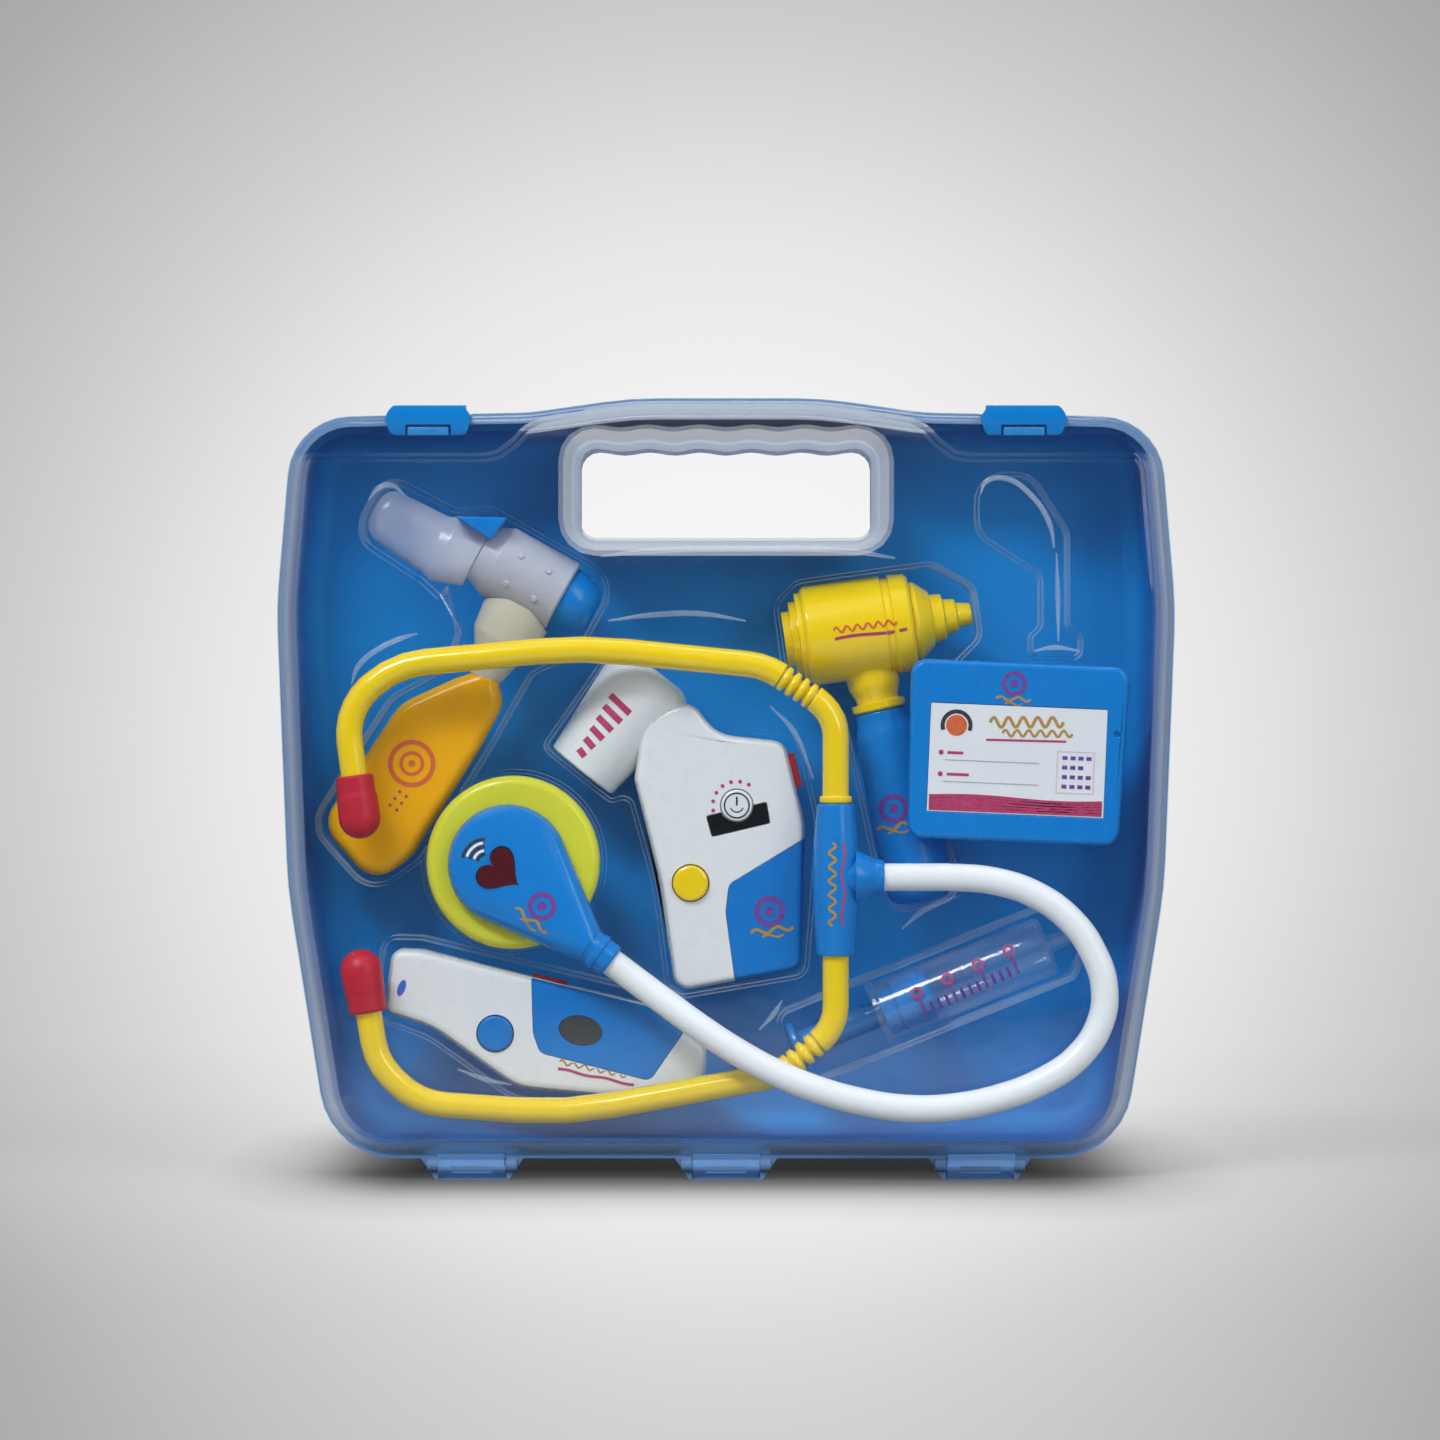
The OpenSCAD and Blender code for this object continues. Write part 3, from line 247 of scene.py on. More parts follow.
@dataclass(frozen=True)
class Plastic:
    """Moulded plastic: a fine grain, a faint cloud in its colour, a coat on glossy ones.

    A shell can have painted shade, a darker colour on the sides that stand in front of its
    brighter floor, and a painted sheen, a greyer blue on its front rim that stands in for the
    clear lid's rim over it. Spans, depths and reaches are in metres.
    """

    painted_shade_span: ClassVar[Point] = (0.014, 0.029)
    painted_sheen_span: ClassVar[Point] = (-0.0048, -0.0042)
    grain_depth: ClassVar[float] = 0.00012
    coat_roughness: ClassVar[float] = 0.08
    milk_reach: ClassVar[float] = 0.004

    name: str
    colour: str
    roughness: float = 0.3
    coat: float = 0.0
    grain: float = 0.12
    grain_scale: float = 1400.0
    mottle: float = 0.06
    milk: float = 0.0
    shine: float = 0.4
    painted_shade_walls: str = ""
    painted_sheen_lip: str = ""

    def build(self) -> bpy.types.Material:
        """Builds the material.

        Returns:
            The material.
        """
        g = Graph(self.name)
        full = linear(self.colour)
        deep = tuple(c * (1 - 2 * self.mottle) for c in full[:3]) + (1.0,)
        cloud = g.spread(g.noise(scale=34.0, detail=4.0), 0.0, 1.0)
        colour = g.mix(cloud, deep, full)
        # Painted shade darkens the sides in front of the floor, and a painted sheen greys the front
        # rim.
        if self.painted_shade_walls:
            depth = g.add("SeparateXYZ", Vector=g.coords).outputs[1]
            for span, nearer in ((self.painted_shade_span, self.painted_shade_walls), (self.painted_sheen_span, self.painted_sheen_lip)):
                colour = g.mix(g.ease(depth, *span, 0.0, 1.0), linear(nearer), colour)
        wear = g.noise(scale=170.0, detail=5.0)
        rough = g.spread(wear, self.roughness - 0.05, self.roughness + 0.06)
        bump = g.add("Bump", Strength=self.grain, Distance=self.grain_depth,
                     Height=g.noise(self.grain_scale, detail=2.0))
        shader = g.add("BsdfPrincipled", Base_Color=colour,
                       Roughness=rough, Normal=bump.outputs[0])
        shader.inputs["Specular IOR Level"].default_value = self.shine
        shader.inputs["Coat Weight"].default_value = self.coat
        shader.inputs["Coat Roughness"].default_value = self.coat_roughness
        if self.milk:
            shader.inputs["Subsurface Weight"].default_value = self.milk
            shader.inputs["Subsurface Radius"].default_value = (self.milk_reach,) * 3
            shader.inputs["Subsurface Scale"].default_value = 1.0
        return g.close(shader.outputs[0])


@dataclass(frozen=True)
class Clear:
    """Clear plastic: gloss by angle, a faint haze, and a whiter look where it turns away.

    Painted shade: a deep blue takes over its milk colour on its flanks and at its foot, over
    spans in metres, where it also whitens less and mirrors less, standing in for dimmer light
    there and the blue base seen through it. A zone adds a veil that eases along one axis: the
    axis, start and end, and the veil at both.
    """

    # Spans of the painted shade on the flanks and foot, and how much it cuts whitening and
    # mirroring.
    painted_shade_flank: ClassVar[Point] = (0.1, 0.116)
    foot: ClassVar[Point] = (0.03, 0.02)
    painted_shade_veil_cut: ClassVar[float] = 0.82
    painted_shade_mirror_cut: ClassVar[float] = 0.6
    ripple_depth: ClassVar[float] = 0.002

    name: str
    tint: tuple[float, float, float] = (0.97, 0.985, 1.0)
    haze: float = 0.02
    rim: float = 0.3
    roughness: float = 0.04
    ior: float = 1.46
    ripple: float = 0.0
    ripple_scale: float = 60.0
    body: str = "#D5E2EE"
    mirror: float = 0.9
    deep: str = ""
    zone: tuple[int, float, float, float, float] | None = None

    def build(self) -> bpy.types.Material:
        """Builds the material.

        Returns:
            The material.
        """
        g = Graph(self.name)
        height = g.noise(self.ripple_scale, detail=2.0)
        bump = g.add("Bump", Strength=self.ripple, Distance=self.ripple_depth,
                     Height=height).outputs[0]
        facing = g.add("LayerWeight", Blend=0.5).outputs["Facing"]
        place = g.add("SeparateXYZ", Vector=g.coords).outputs
        edge = g.math("MULTIPLY", g.math("POWER", facing, 3.0), self.rim)
        body, mirror = linear(self.body), self.mirror
        # Painted shade: darker blue milk, weaker whitening and weaker mirroring on the flanks and
        # foot.
        if self.deep:
            side = g.ease(g.math("ABSOLUTE", place[0]), *self.painted_shade_flank, 0.0, 1.0)
            near = g.math("MAXIMUM", side, g.ease(place[2], *self.foot, 0.0, 1.0))
            body = g.mix(near, body, linear(self.deep))
            kept = g.math("SUBTRACT", 1.0, g.math("MULTIPLY", side, self.painted_shade_veil_cut))
            edge = g.math("MULTIPLY", edge, kept)
            mirror = g.math("SUBTRACT", mirror, g.math("MULTIPLY", near, self.painted_shade_mirror_cut))
        cloud = g.noise(scale=24.0, detail=5.0)
        veil = g.math("ADD", edge, g.spread(cloud, self.haze * 0.5, self.haze * 1.5))
        if self.zone:
            axis, start, end, low, high = self.zone
            veil = g.math("ADD", veil, g.ease(place[axis], start, end, low, high))
        seen = g.add("BsdfTransparent", Color=(*self.tint, 1.0)).outputs[0]
        milk = g.add("BsdfDiffuse", Color=body).outputs[0]
        gloss = g.add("BsdfGlossy", Color=(1.0, 1.0, 1.0, 1.0), Roughness=self.roughness,
                      Normal=bump).outputs[0]
        inner = g.add("NewGeometry").outputs["Backfacing"]
        ior = g.math("ADD", g.math("MULTIPLY", inner, 1.0 / self.ior - self.ior), self.ior)
        fresnel = g.add("Fresnel", IOR=ior, Normal=bump).outputs[0]
        fresnel = g.math("MINIMUM", fresnel, mirror)
        worked = g.blend(fresnel, g.blend(veil, seen, milk), gloss)
        rays = g.add("LightPath").outputs
        lit = g.math("MAXIMUM", rays["Is Shadow Ray"], rays["Is Diffuse Ray"])
        return g.close(g.blend(lit, worked, seen))


@dataclass(frozen=True)
class Ink:
    """Printed ink: flat, a little uneven in its cover."""

    name: str
    colour: str
    roughness: float = 0.42

    def build(self) -> bpy.types.Material:
        """Builds the material.

        Returns:
            The material.
        """
        g = Graph(self.name)
        full = linear(self.colour)
        worn = tuple(min(1.0, c * 0.8 + 0.1) for c in full[:3]) + (1.0,)
        cover = g.spread(g.noise(scale=900.0), 0.0, 0.5)
        wear = g.noise(scale=400.0, detail=2.0)
        rough = g.spread(wear, self.roughness, self.roughness + 0.12)
        shader = g.add("BsdfPrincipled", Base_Color=g.mix(cover, full, worn), Roughness=rough)
        return g.close(shader.outputs[0])


class Finish(Enum):
    """Every finish on the case."""

    # The shell's second colour is painted shade on its sides, its third a painted sheen on its
    # front rim.
    SHELL = Plastic("shell_blue", "#0290DC", 0.4, grain=0.2, grain_scale=1100.0, mottle=0.04,
                    shine=0.15, painted_shade_walls="#0566B4", painted_sheen_lip="#6A8CB4")
    GLOSS_BLUE = Plastic("gloss_blue", "#0680D2", 0.24, coat=0.22, mottle=0.03, shine=0.25)
    PANEL_BLUE = Plastic("panel_blue", "#087ACC", 0.3, coat=0.1, mottle=0.03, shine=0.25)
    YELLOW = Plastic("yellow_plastic", "#FFD800", 0.2, coat=0.8, mottle=0.02, shine=0.4)
    AMBER = Plastic("amber_plastic", "#FFB600", 0.22, coat=0.2, mottle=0.06, shine=0.25)
    RED_SOFT = Plastic("soft_red", "#C8182F", 0.4, grain=0.2, mottle=0.08)
    HOSE = Plastic("white_hose", "#F7F8F7", 0.3, coat=0.2, mottle=0.02, milk=0.2)
    LIME = Plastic("lime_ring", "#E2E03A", 0.3, coat=0.2, mottle=0.05, milk=0.25)
    MILKY = Plastic("milky_plastic", "#BFC0CC", 0.34, coat=0.1, mottle=0.06, milk=0.35)
    IVORY = Plastic("ivory_plastic", "#D9D2BE", 0.34, mottle=0.08, milk=0.3)
    RUBY = Plastic("ruby_lens", "#5A0F1C", 0.1, coat=0.8, grain=0.04, mottle=0.12)
    WHITE = Plastic("white_shell", "#E9EAEA", 0.28, coat=0.2, grain=0.06, mottle=0.006)
    DARK = Plastic("dark_window", "#12161B", 0.14, coat=0.5, grain=0.04, mottle=0.2)
    SMOKE = Plastic("smoke_window", "#3D4042", 0.2, coat=0.4, grain=0.04, mottle=0.15)
    RED = Plastic("red_plastic", "#B3202C", 0.3, coat=0.2, mottle=0.05)
    PALE_BLUE = Plastic("pale_blue", "#2F86CE", 0.28, coat=0.2, mottle=0.05, milk=0.2)
    CARD = Plastic("card_paper", "#E9EAEC", 0.5, grain=0.25, grain_scale=2600.0, mottle=0.02)
    # The lid's deep colour is painted shade on its flanks and foot.
    LID = Clear("clear_lid", haze=0.002, rim=0.6, roughness=0.05, deep="#78ACEC",
                zone=(2, 0.0125, 0.0135, 0.42, 0.0))
    TRAY = Clear("clear_tray", tint=(0.97, 0.985, 0.995), haze=0.003, rim=0.6, roughness=0.09,
                 ior=1.38, ripple=0.3, ripple_scale=42.0, mirror=0.3)
    BARREL = Clear("clear_barrel", tint=(0.985, 0.99, 1.0), haze=0.035, rim=0.4, roughness=0.06,
                   mirror=0.3)
    BEAD = Clear("clear_bead", haze=0.14, rim=0.25, roughness=0.2, body="#E8F1FA")
    TIP = Clear("milky_tip", tint=(0.9, 0.93, 0.98), haze=0.34, rim=0.3, roughness=0.22,
                body="#CFD0DC", zone=(0, -0.102, -0.084, 0.0, 0.4))
    INK_MAGENTA = Ink("ink_magenta", "#B9205E")
    INK_PURPLE = Ink("ink_purple", "#6A2C93")
    INK_GOLD = Ink("ink_gold", "#B98A1E")
    INK_GREY = Ink("ink_grey", "#A9AFB8")
    INK_BLACK = Ink("ink_black", "#17181B")
    INK_WHITE = Ink("ink_white", "#F2F4F5")
    INK_ORANGE = Ink("ink_orange", "#DC5A12")
    INK_BLUE = Ink("ink_blue", "#2F62C8")
    INK_BLUSH = Ink("ink_blush", "#E9C6D2")

    def material(self) -> bpy.types.Material:
        """Returns this finish's material, built on first use."""
        found = bpy.data.materials.get("finish_" + self.value.name)
        return found or self.value.build()


class Bench:
    """Modelling moves that every sub-assembly uses."""

    @staticmethod
    def clear() -> None:
        """Leaves edit mode and deselects everything."""
        if bpy.context.object and bpy.context.object.mode != "OBJECT":
            bpy.ops.object.mode_set(mode="OBJECT")
        bpy.ops.object.select_all(action="DESELECT")

    @staticmethod
    def hold(piece: bpy.types.Object) -> None:
        """Selects one piece and makes it active.

        Args:
            piece: The piece.
        """
        Bench.clear()
        piece.select_set(True)
        bpy.context.view_layer.objects.active = piece

    @staticmethod
    @contextmanager
    def editing(piece: bpy.types.Object) -> Iterator[None]:
        """Holds one piece in edit mode, and leaves that mode at the end.

        Args:
            piece: The piece.

        Yields:
            Nothing, once the piece is in edit mode.
        """
        Bench.hold(piece)
        bpy.ops.object.mode_set(mode="EDIT")
        yield
        bpy.ops.object.mode_set(mode="OBJECT")

    @staticmethod
    def pick(piece: bpy.types.Object, rule: Callable[[Vector, Vector], bool]) -> None:
        """Selects the edges whose two ends meet a rule, and no others.

        Args:
            piece: The piece that has the edges.
            rule: Says of both ends of an edge, in metres, whether it is selected.
        """
        with Bench.editing(piece):
            bpy.ops.mesh.select_mode(type="EDGE")
            bpy.ops.mesh.select_all(action="DESELECT")
        points = piece.data.vertices
        for edge in piece.data.edges:
            first, last = edge.vertices
            edge.select = rule(points[first].co, points[last].co)

    @staticmethod
    def tube(name: str, points: list[Vector], radius: float, rounds: int,
             steps: int) -> bpy.types.Object:
        """Adds a round tube as a curve.

        Args:
            name: Name of the piece.
            points: Its middle line, in metres.
            radius: Its radius in millimetres.
            rounds: Resolution around it.
            steps: Resolution from point to point.

        Returns:
            The curve's object.
        """
        curve = bpy.data.curves.new(name, "CURVE")
        curve.dimensions = "3D"
        curve.bevel_depth = radius * MM
        curve.bevel_resolution = rounds
        curve.resolution_u = steps
        curve.use_fill_caps = True
        spline = curve.splines.new("BEZIER")
        spline.bezier_points.add(len(points) - 1)
        for knot, place in zip(spline.bezier_points, points):
            knot.co = place
            knot.handle_left_type = knot.handle_right_type = "AUTO"
        piece = bpy.data.objects.new(name, curve)
        bpy.context.scene.collection.objects.link(piece)
        return piece

    @staticmethod
    def modify(piece: bpy.types.Object, kind: str, **settings: Any) -> None:
        """Adds a modifier and applies it.

        Args:
            piece: The piece to change.
            kind: Modifier type.
            **settings: Its settings.
        """
        Bench.hold(piece)
        modifier = piece.modifiers.new(kind.lower(), kind)
        for key, value in settings.items():
            setattr(modifier, key, value)
        bpy.ops.object.modifier_apply(modifier=modifier.name)

    @staticmethod
    def smooth(piece: bpy.types.Object, degrees: float) -> None:
        """Shades smooth up to an angle."""
        Bench.hold(piece)
        bpy.ops.object.shade_smooth_by_angle(angle=math.radians(degrees))

    @staticmethod
    def dress(piece: bpy.types.Object, finish: Finish, body: Body, slot: str) -> bpy.types.Object:
        """Gives a piece its finish and its body.

        Args:
            piece: The finished piece.
            finish: Its finish.
            body: The body it moves with.
            slot: The record's slot its finish belongs to; not used.

        Returns:
            The piece.
        """
        piece.data.materials.clear()
        piece.data.materials.append(finish.material())
        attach(piece, body.value)
        LOG.info("%s rides on %s in %s", piece.name, body.value, finish.value.name)
        return piece

    @staticmethod
    def join(pieces: list[bpy.types.Object], name: str) -> bpy.types.Object:
        """Joins pieces into one.

        Args:
            pieces: The pieces, of which the first takes in the others.
            name: Name of the result.

        Returns:
            The joined piece.
        """
        Bench.clear()
        for piece in pieces:
            piece.select_set(True)
        bpy.context.view_layer.objects.active = pieces[0]
        if len(pieces) > 1:
            bpy.ops.object.join()
        pieces[0].name = name
        return pieces[0]


class Moulding:
    """A moulded piece worked up from the solid that carries the same name.

    Points closer than the weld, in metres, become one. Edges sharper than the crease are
    rounded, and faces flatter to each other than the flat angle become one face.
    """

    weld: ClassVar[float] = 0.000004
    flat: ClassVar[float] = math.radians(0.4)
    crease: ClassVar[float] = math.radians(38)

    nodes: dict[str, bpy.types.Object] = {}
    made: dict[str, bpy.types.Object] = {}

    @classmethod
    def make(cls, node: str, finish: Finish, slot: str, body: Body = Body.BASE,
             edge: float = 0.35, segments: int = 2, angle: float = 34.0,
             clamp: bool = True) -> bpy.types.Object:
        """Copies a solid, merges it, rounds its edges and dresses it.

        Args:
            node: The solid that the piece stands for.
            finish: Its finish.
            slot: The record's slot.
            body: The body it moves with.
            edge: Radius of the rounded edges in millimetres, 0 for none.
            segments: Steps in each rounding.
            angle: Largest angle that is shaded smooth, in degrees.
            clamp: Whether the shortest edge limits the rounding.

        Returns:
            The piece.
        """
        Bench.hold(cls.nodes[node])
        bpy.ops.object.duplicate()
        piece = bpy.context.object
        piece.parent = None
        for key in list(piece.keys()):
            if key.startswith("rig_"):
                del piece[key]
        piece.name = node + "_moulding"
        with Bench.editing(piece):
            bpy.ops.mesh.select_all(action="SELECT")
            bpy.ops.mesh.remove_doubles(threshold=cls.weld)
            bpy.ops.mesh.dissolve_limited(angle_limit=cls.flat)
        if edge:
            Bench.modify(piece, "BEVEL", width=edge * MM, segments=segments,
                         limit_method="ANGLE", angle_limit=cls.crease,
                         use_clamp_overlap=clamp, miter_outer="MITER_ARC")
        Bench.smooth(piece, angle)
        Bench.modify(piece, "WEIGHTED_NORMAL", keep_sharp=True, weight=60)
        Bench.dress(piece, finish, body, slot)
        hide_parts(node)
        cls.made[node] = piece
        return piece


@dataclass
class Print:
    """Ink of one colour on one surface, drawn in front of the case and laid back on it.

    The depth of the drawing, the depth in front of which a point has missed its surface, the
    ink's lift off that surface and its thickness are in metres.
    """

    front: ClassVar[float] = -0.06
    missed: ClassVar[float] = -0.055
    lift: ClassVar[float] = 0.00007
    thickness: ClassVar[float] = 0.00005

    name: str
    finish: Finish
    slot: str
    on: str
    origin: Point = (0.0, 0.0)
    turn: float = 0.0
    body: Body = Body.BASE
    parts: list[bpy.types.Object] = field(default_factory=list)

    def place(self, u: float, v: float) -> Vector:
        """Turns a point of the drawing into one in front of everything.

        Args:
            u: Its place along the drawing, in millimetres.
            v: Its place up the drawing, in millimetres.

        Returns:
            The point in metres.
        """
        c, s = math.cos(math.radians(self.turn)), math.sin(math.radians(self.turn))
        return Vector(((self.origin[0] + u * c - v * s) * MM, self.front,
                       (self.origin[1] + u * s + v * c) * MM))

    def line(self, path: list[Point], width: float, closed: bool = False) -> "Print":
        """Draws a stroke.

        Args:
            path: Its middle line, in millimetres.
            width: Its width in millimetres.
            closed: Whether its end meets its start.

        Returns:
            This print, for the next stroke.
        """
        n = len(path)
        Bench.clear()
        bpy.ops.mesh.primitive_grid_add(x_subdivisions=n if closed else n - 1, y_subdivisions=2)
        piece = bpy.context.object
        grid = sorted(piece.data.vertices, key=lambda v: (round(v.co.y, 5), round(v.co.x, 5)))
        across = len(grid) // 3
        for k in range(across):
            i = k % n
            a = path[(i - 1) % n] if closed or i else path[0]
            b = path[(i + 1) % n] if closed or i < n - 1 else path[-1]
            run = Vector((b[0] - a[0], b[1] - a[1])).normalized()
            for row in range(3):
                off = (row - 1) * width / 2
                grid[row * across + k].co = self.place(path[i][0] - run.y * off,
                                                       path[i][1] + run.x * off)
        self.parts.append(piece)
        return self

    def ring(self, centre: Point, radius: float, width: float, start: float = 0.0,
             end: float = 360.0) -> "Print":
        """Draws a circle or, between two angles, an arc.

        Args:
            centre: Its centre, in millimetres.
            radius: Radius of its middle line in millimetres.
            width: Its width in millimetres.
            start: Angle at which it starts, in degrees.
            end: Angle at which it ends, in degrees.

        Returns:
            This print, for the next stroke.
        """
        whole = end - start >= 360.0
        n = max(6, int((end - start) / 12))
        steps = n if whole else n + 1
        path = [(centre[0] + radius * math.cos(math.radians(start + (end - start) * i / n)),
                 centre[1] + radius * math.sin(math.radians(start + (end - start) * i / n)))
                for i in range(steps)]
        return self.line(path, width, closed=whole)

    def disc(self, centre: Point, radius: float, stretch: float = 1.0) -> "Print":
        """Draws a filled dot.

        Args:
            centre: Its centre, in millimetres.
            radius: Its radius in millimetres.
            stretch: How many times longer it is along the drawing than across it.

        Returns:
            This print, for the next stroke.
        """
        Bench.clear()
        bpy.ops.mesh.primitive_circle_add(vertices=24, radius=radius, fill_type="TRIFAN")
        piece = bpy.context.object
        for v in piece.data.vertices:
            v.co = self.place(centre[0] + v.co.x * stretch, centre[1] + v.co.y)
        self.parts.append(piece)
        return self

    def wave(self, start: Point, end: Point, height: float, turns: float, width: float) -> "Print":
        """Draws a wavy stroke between two points.

        Args:
            start: Where it starts, in millimetres.
            end: Where it ends.
            height: How far it swings to each side.
            turns: Number of waves.
            width: Its width.

        Returns:
            This print, for the next stroke.
        """
        run = Vector((end[0] - start[0], end[1] - start[1]))
        side = Vector((-run.y, run.x)).normalized()
        path = []
        for i in range(int(turns * 10) + 1):
            t = i / int(turns * 10)
            q = Vector(start) + run * t + side * height * math.sin(2 * math.pi * turns * t)
            path.append((q.x, q.y))
        return self.line(path, width)

    def lay(self) -> bpy.types.Object:
        """Joins the strokes and lays them on their surface.

        Returns:
            The finished print.
        """
        piece = Bench.join(self.parts, self.name)
        with Bench.editing(piece):
            bpy.ops.mesh.select_all(action="SELECT")
            bpy.ops.mesh.remove_doubles(threshold=0.00001)
            bpy.ops.mesh.normals_make_consistent(inside=False)
        piece.location = (0, 0, 0)
        Bench.modify(piece, "SHRINKWRAP", target=Moulding.made[self.on],
                     wrap_method="PROJECT", use_project_x=False, use_project_y=True,
                     use_project_z=False, use_negative_direction=False,
                     use_positive_direction=True, offset=self.lift)
        stray = sum(v.co.y < self.missed for v in piece.data.vertices)
        if stray:
            LOG.warning("%s: %d points lie off its surface", self.name, stray)
        Bench.modify(piece, "SOLIDIFY", thickness=self.thickness, offset=0.0)
        Bench.smooth(piece, 40)
        return Bench.dress(piece, self.finish, self.body, self.slot)


def bloom(name: str, on: str, at: Point, size: float, turn: float) -> None:
    """Lays a small round ornament: a ring with a dot, over two short bars.

    Args:
        name: Name of the print.
        on: The piece that carries it.
        at: Its middle, in millimetres.
        size: Its width in millimetres.
        turn: Its turn in degrees.
    """
    middle = (0, size * 0.14)
    mark = Print(name, Finish.INK_PURPLE, "red", on, at, turn)
    mark.ring(middle, size * 0.3, size * 0.13).disc(middle, size * 0.12).lay()
    bars = Print(name + "_bars", Finish.INK_GOLD, "yellow", on, at, turn)
    for half, low, height, turns, width in ((0.5, 0.3, 0.06, 2, 0.07),
                                            (0.25, 0.44, 0.04, 1, 0.05)):
        bars.wave((-size * half, -size * low), (size * half, -size * low), size * height, turns,
                  size * width)
    bars.lay()


@dataclass
class Studio:
    """The pale sweep, the soft lamps and the camera. Lengths are in metres.

    A point of the paper shows nearer the picture's middle the further back it lies, which the
    highest of three sloping lines follows, and the paper carries a painted pool of light that
    darkens towards the corners. The painted shadow around the case starts where its foot ends:
    beyond a half width, before one depth and behind another. The paper's own glow is painted
    light, and holds a smaller share near the case, so that the lamps' shadows show there.
    """

    nearness: ClassVar[tuple[Point, ...]] = ((0.979, 1.009), (0.979, 0.455), (0.86, 0.263))
    # Painted pool of light on the paper, by distance from the middle.
    painted_light_pool: ClassVar[dict[float, str]] = {
        0.12: "F9", 0.25: "F4", 0.38: "EA", 0.45: "E0", 0.54: "D1", 0.76: "AF", 0.84: "A6"}
    # Painted shadow on the paper around the case.
    shade: ClassVar[dict[float, str]] = {
        0.0: "46", 0.083: "5B", 0.192: "70", 0.3: "8A", 0.405: "AF", 0.51: "CE", 0.61: "E3",
        0.767: "F2", 1.0: "FF"}

    distance: float = 1.531
    eye_height: float = 0.1448
    focal: float = 121.0
    sweep_back: float = 0.62
    sweep_front: float = -4.0
    sweep_half: float = 6.0
    bend: float = 0.5
    bend_steps: int = 16
    wall_height: float = 4.0
    painted_pool_lift: float = 0.006
    painted_pool_fall: float = 2.5
    foot_half: float = 0.096
    foot_depths: Point = (0.03, 0.1)
    shade_sides: float = 2.4
    shade_fall: float = 5.9
    paper: float = 0.84
    glow_fade: tuple[float, ...] = (-1.0, -0.6, 0.12, 1.0)
    glow_sides: float = 0.6
    glow_span: Point = (0.07, 0.34)
    glow_share: Point = (0.5, 0.94)
    air: float = 0.6
    lamp_aim: tuple[float, float, float] = (0.0, 0.0, 0.12)

    def camera(self) -> None:
        """Sets the camera where the photographer's stood."""
        Bench.clear()
        bpy.ops.object.camera_add(location=(-0.0019, -self.distance, self.eye_height),
                                  rotation=(math.pi / 2, 0, 0))
        camera = bpy.context.object
        camera.data.lens = self.focal
        camera.data.sensor_width = 36.0
        camera.data.clip_start = 0.01
        bpy.context.scene.camera = camera

    def sweep(self) -> None:
        """Makes the floor that curves up into the backdrop."""
        Bench.clear()
        bpy.ops.mesh.primitive_plane_add(size=2, location=(0, 0, 0))
        sheet = bpy.context.object
        sheet.name = "studio_sweep"
        for v in sheet.data.vertices:
            v.co = Vector((v.co.x * self.sweep_half,
                           self.sweep_front if v.co.y < 0 else self.sweep_back, 0.0))
        Bench.pick(sheet, lambda a, b: min(a.y, b.y) > 0.0)
        with Bench.editing(sheet):
            angles = [math.pi / 2 * i / self.bend_steps for i in range(self.bend_steps + 1)]
            for a, b in zip(angles, angles[1:]):
                step = (0, self.bend * (math.sin(b) - math.sin(a)),
                        self.bend * (math.cos(a) - math.cos(b)))
                bpy.ops.mesh.extrude_region_move(TRANSFORM_OT_translate={"value": step})
            step = (0, 0, self.wall_height)
            bpy.ops.mesh.extrude_region_move(TRANSFORM_OT_translate={"value": step})
        Bench.smooth(sheet, 40)
        g = Graph("studio_paper")
        x, y, z = g.add("SeparateXYZ", Vector=g.coords).outputs
        scale: Any = 0.0
        for height, slope in self.nearness:
            line = g.math("SUBTRACT", height, g.math("MULTIPLY", y, slope))
            scale = g.math("MAXIMUM", scale, line)
        across = g.math("MULTIPLY", x, scale)
        up = g.math("MULTIPLY", g.math("SUBTRACT", z, self.eye_height), scale)
        # Painted pool of light: the paper's grey falls off from the middle.
        far = g.span(across, g.math("ADD", up, self.painted_pool_lift))
        painted_pool_tone = g.ramp(g.math("MULTIPLY", far, self.painted_pool_fall), self.painted_light_pool)
        # Painted contact shadow darkens the paper around the case.
        tint = g.mix(self.painted_contact_shadow(g, x, y), linear("#000000"), painted_pool_tone)
        dull = g.mix(self.paper, linear("#000000"), tint)
        shade = g.add("BsdfDiffuse", Color=dull, Roughness=0.6).outputs[0]
        # Painted glow: the paper shows its own grey where the camera and reflections see it.
        glow = g.add("Emission", Color=tint, Strength=g.ease(y, *self.glow_fade)).outputs[0]
        rays = g.add("LightPath").outputs
        seen = g.math("MAXIMUM", rays["Is Camera Ray"], rays["Is Glossy Ray"])
        seen = g.math("MAXIMUM", seen, rays["Is Transmission Ray"])
        away = g.span(g.math("MULTIPLY", x, self.glow_sides), y)
        share = g.ease(away, *self.glow_span, *self.glow_share)
        sheet.data.materials.append(g.close(g.blend(g.math("MULTIPLY", seen, share), shade, glow)))

    def painted_contact_shadow(self, g: Graph, x: Any, y: Any) -> Any:
        """Returns the painted shadow on the paper under and around the standing case.

        Args:
            g: The paper's graph.
            x: Coordinate across the case.
            y: Coordinate along its depth.

        Returns:
            0 in full painted shadow to 1 in the open.
        """
        before, behind = self.foot_depths
        side = g.math("SUBTRACT", g.math("ABSOLUTE", x), self.foot_half)
        side = g.math("MULTIPLY", g.math("MAXIMUM", side, 0.0), self.shade_sides)
        front = g.math("MAXIMUM", g.math("SUBTRACT", before, y), g.math("SUBTRACT", y, behind))
        far = g.span(side, g.math("MAXIMUM", front, 0.0))
        return g.ramp(g.math("MULTIPLY", far, self.shade_fall), self.shade)

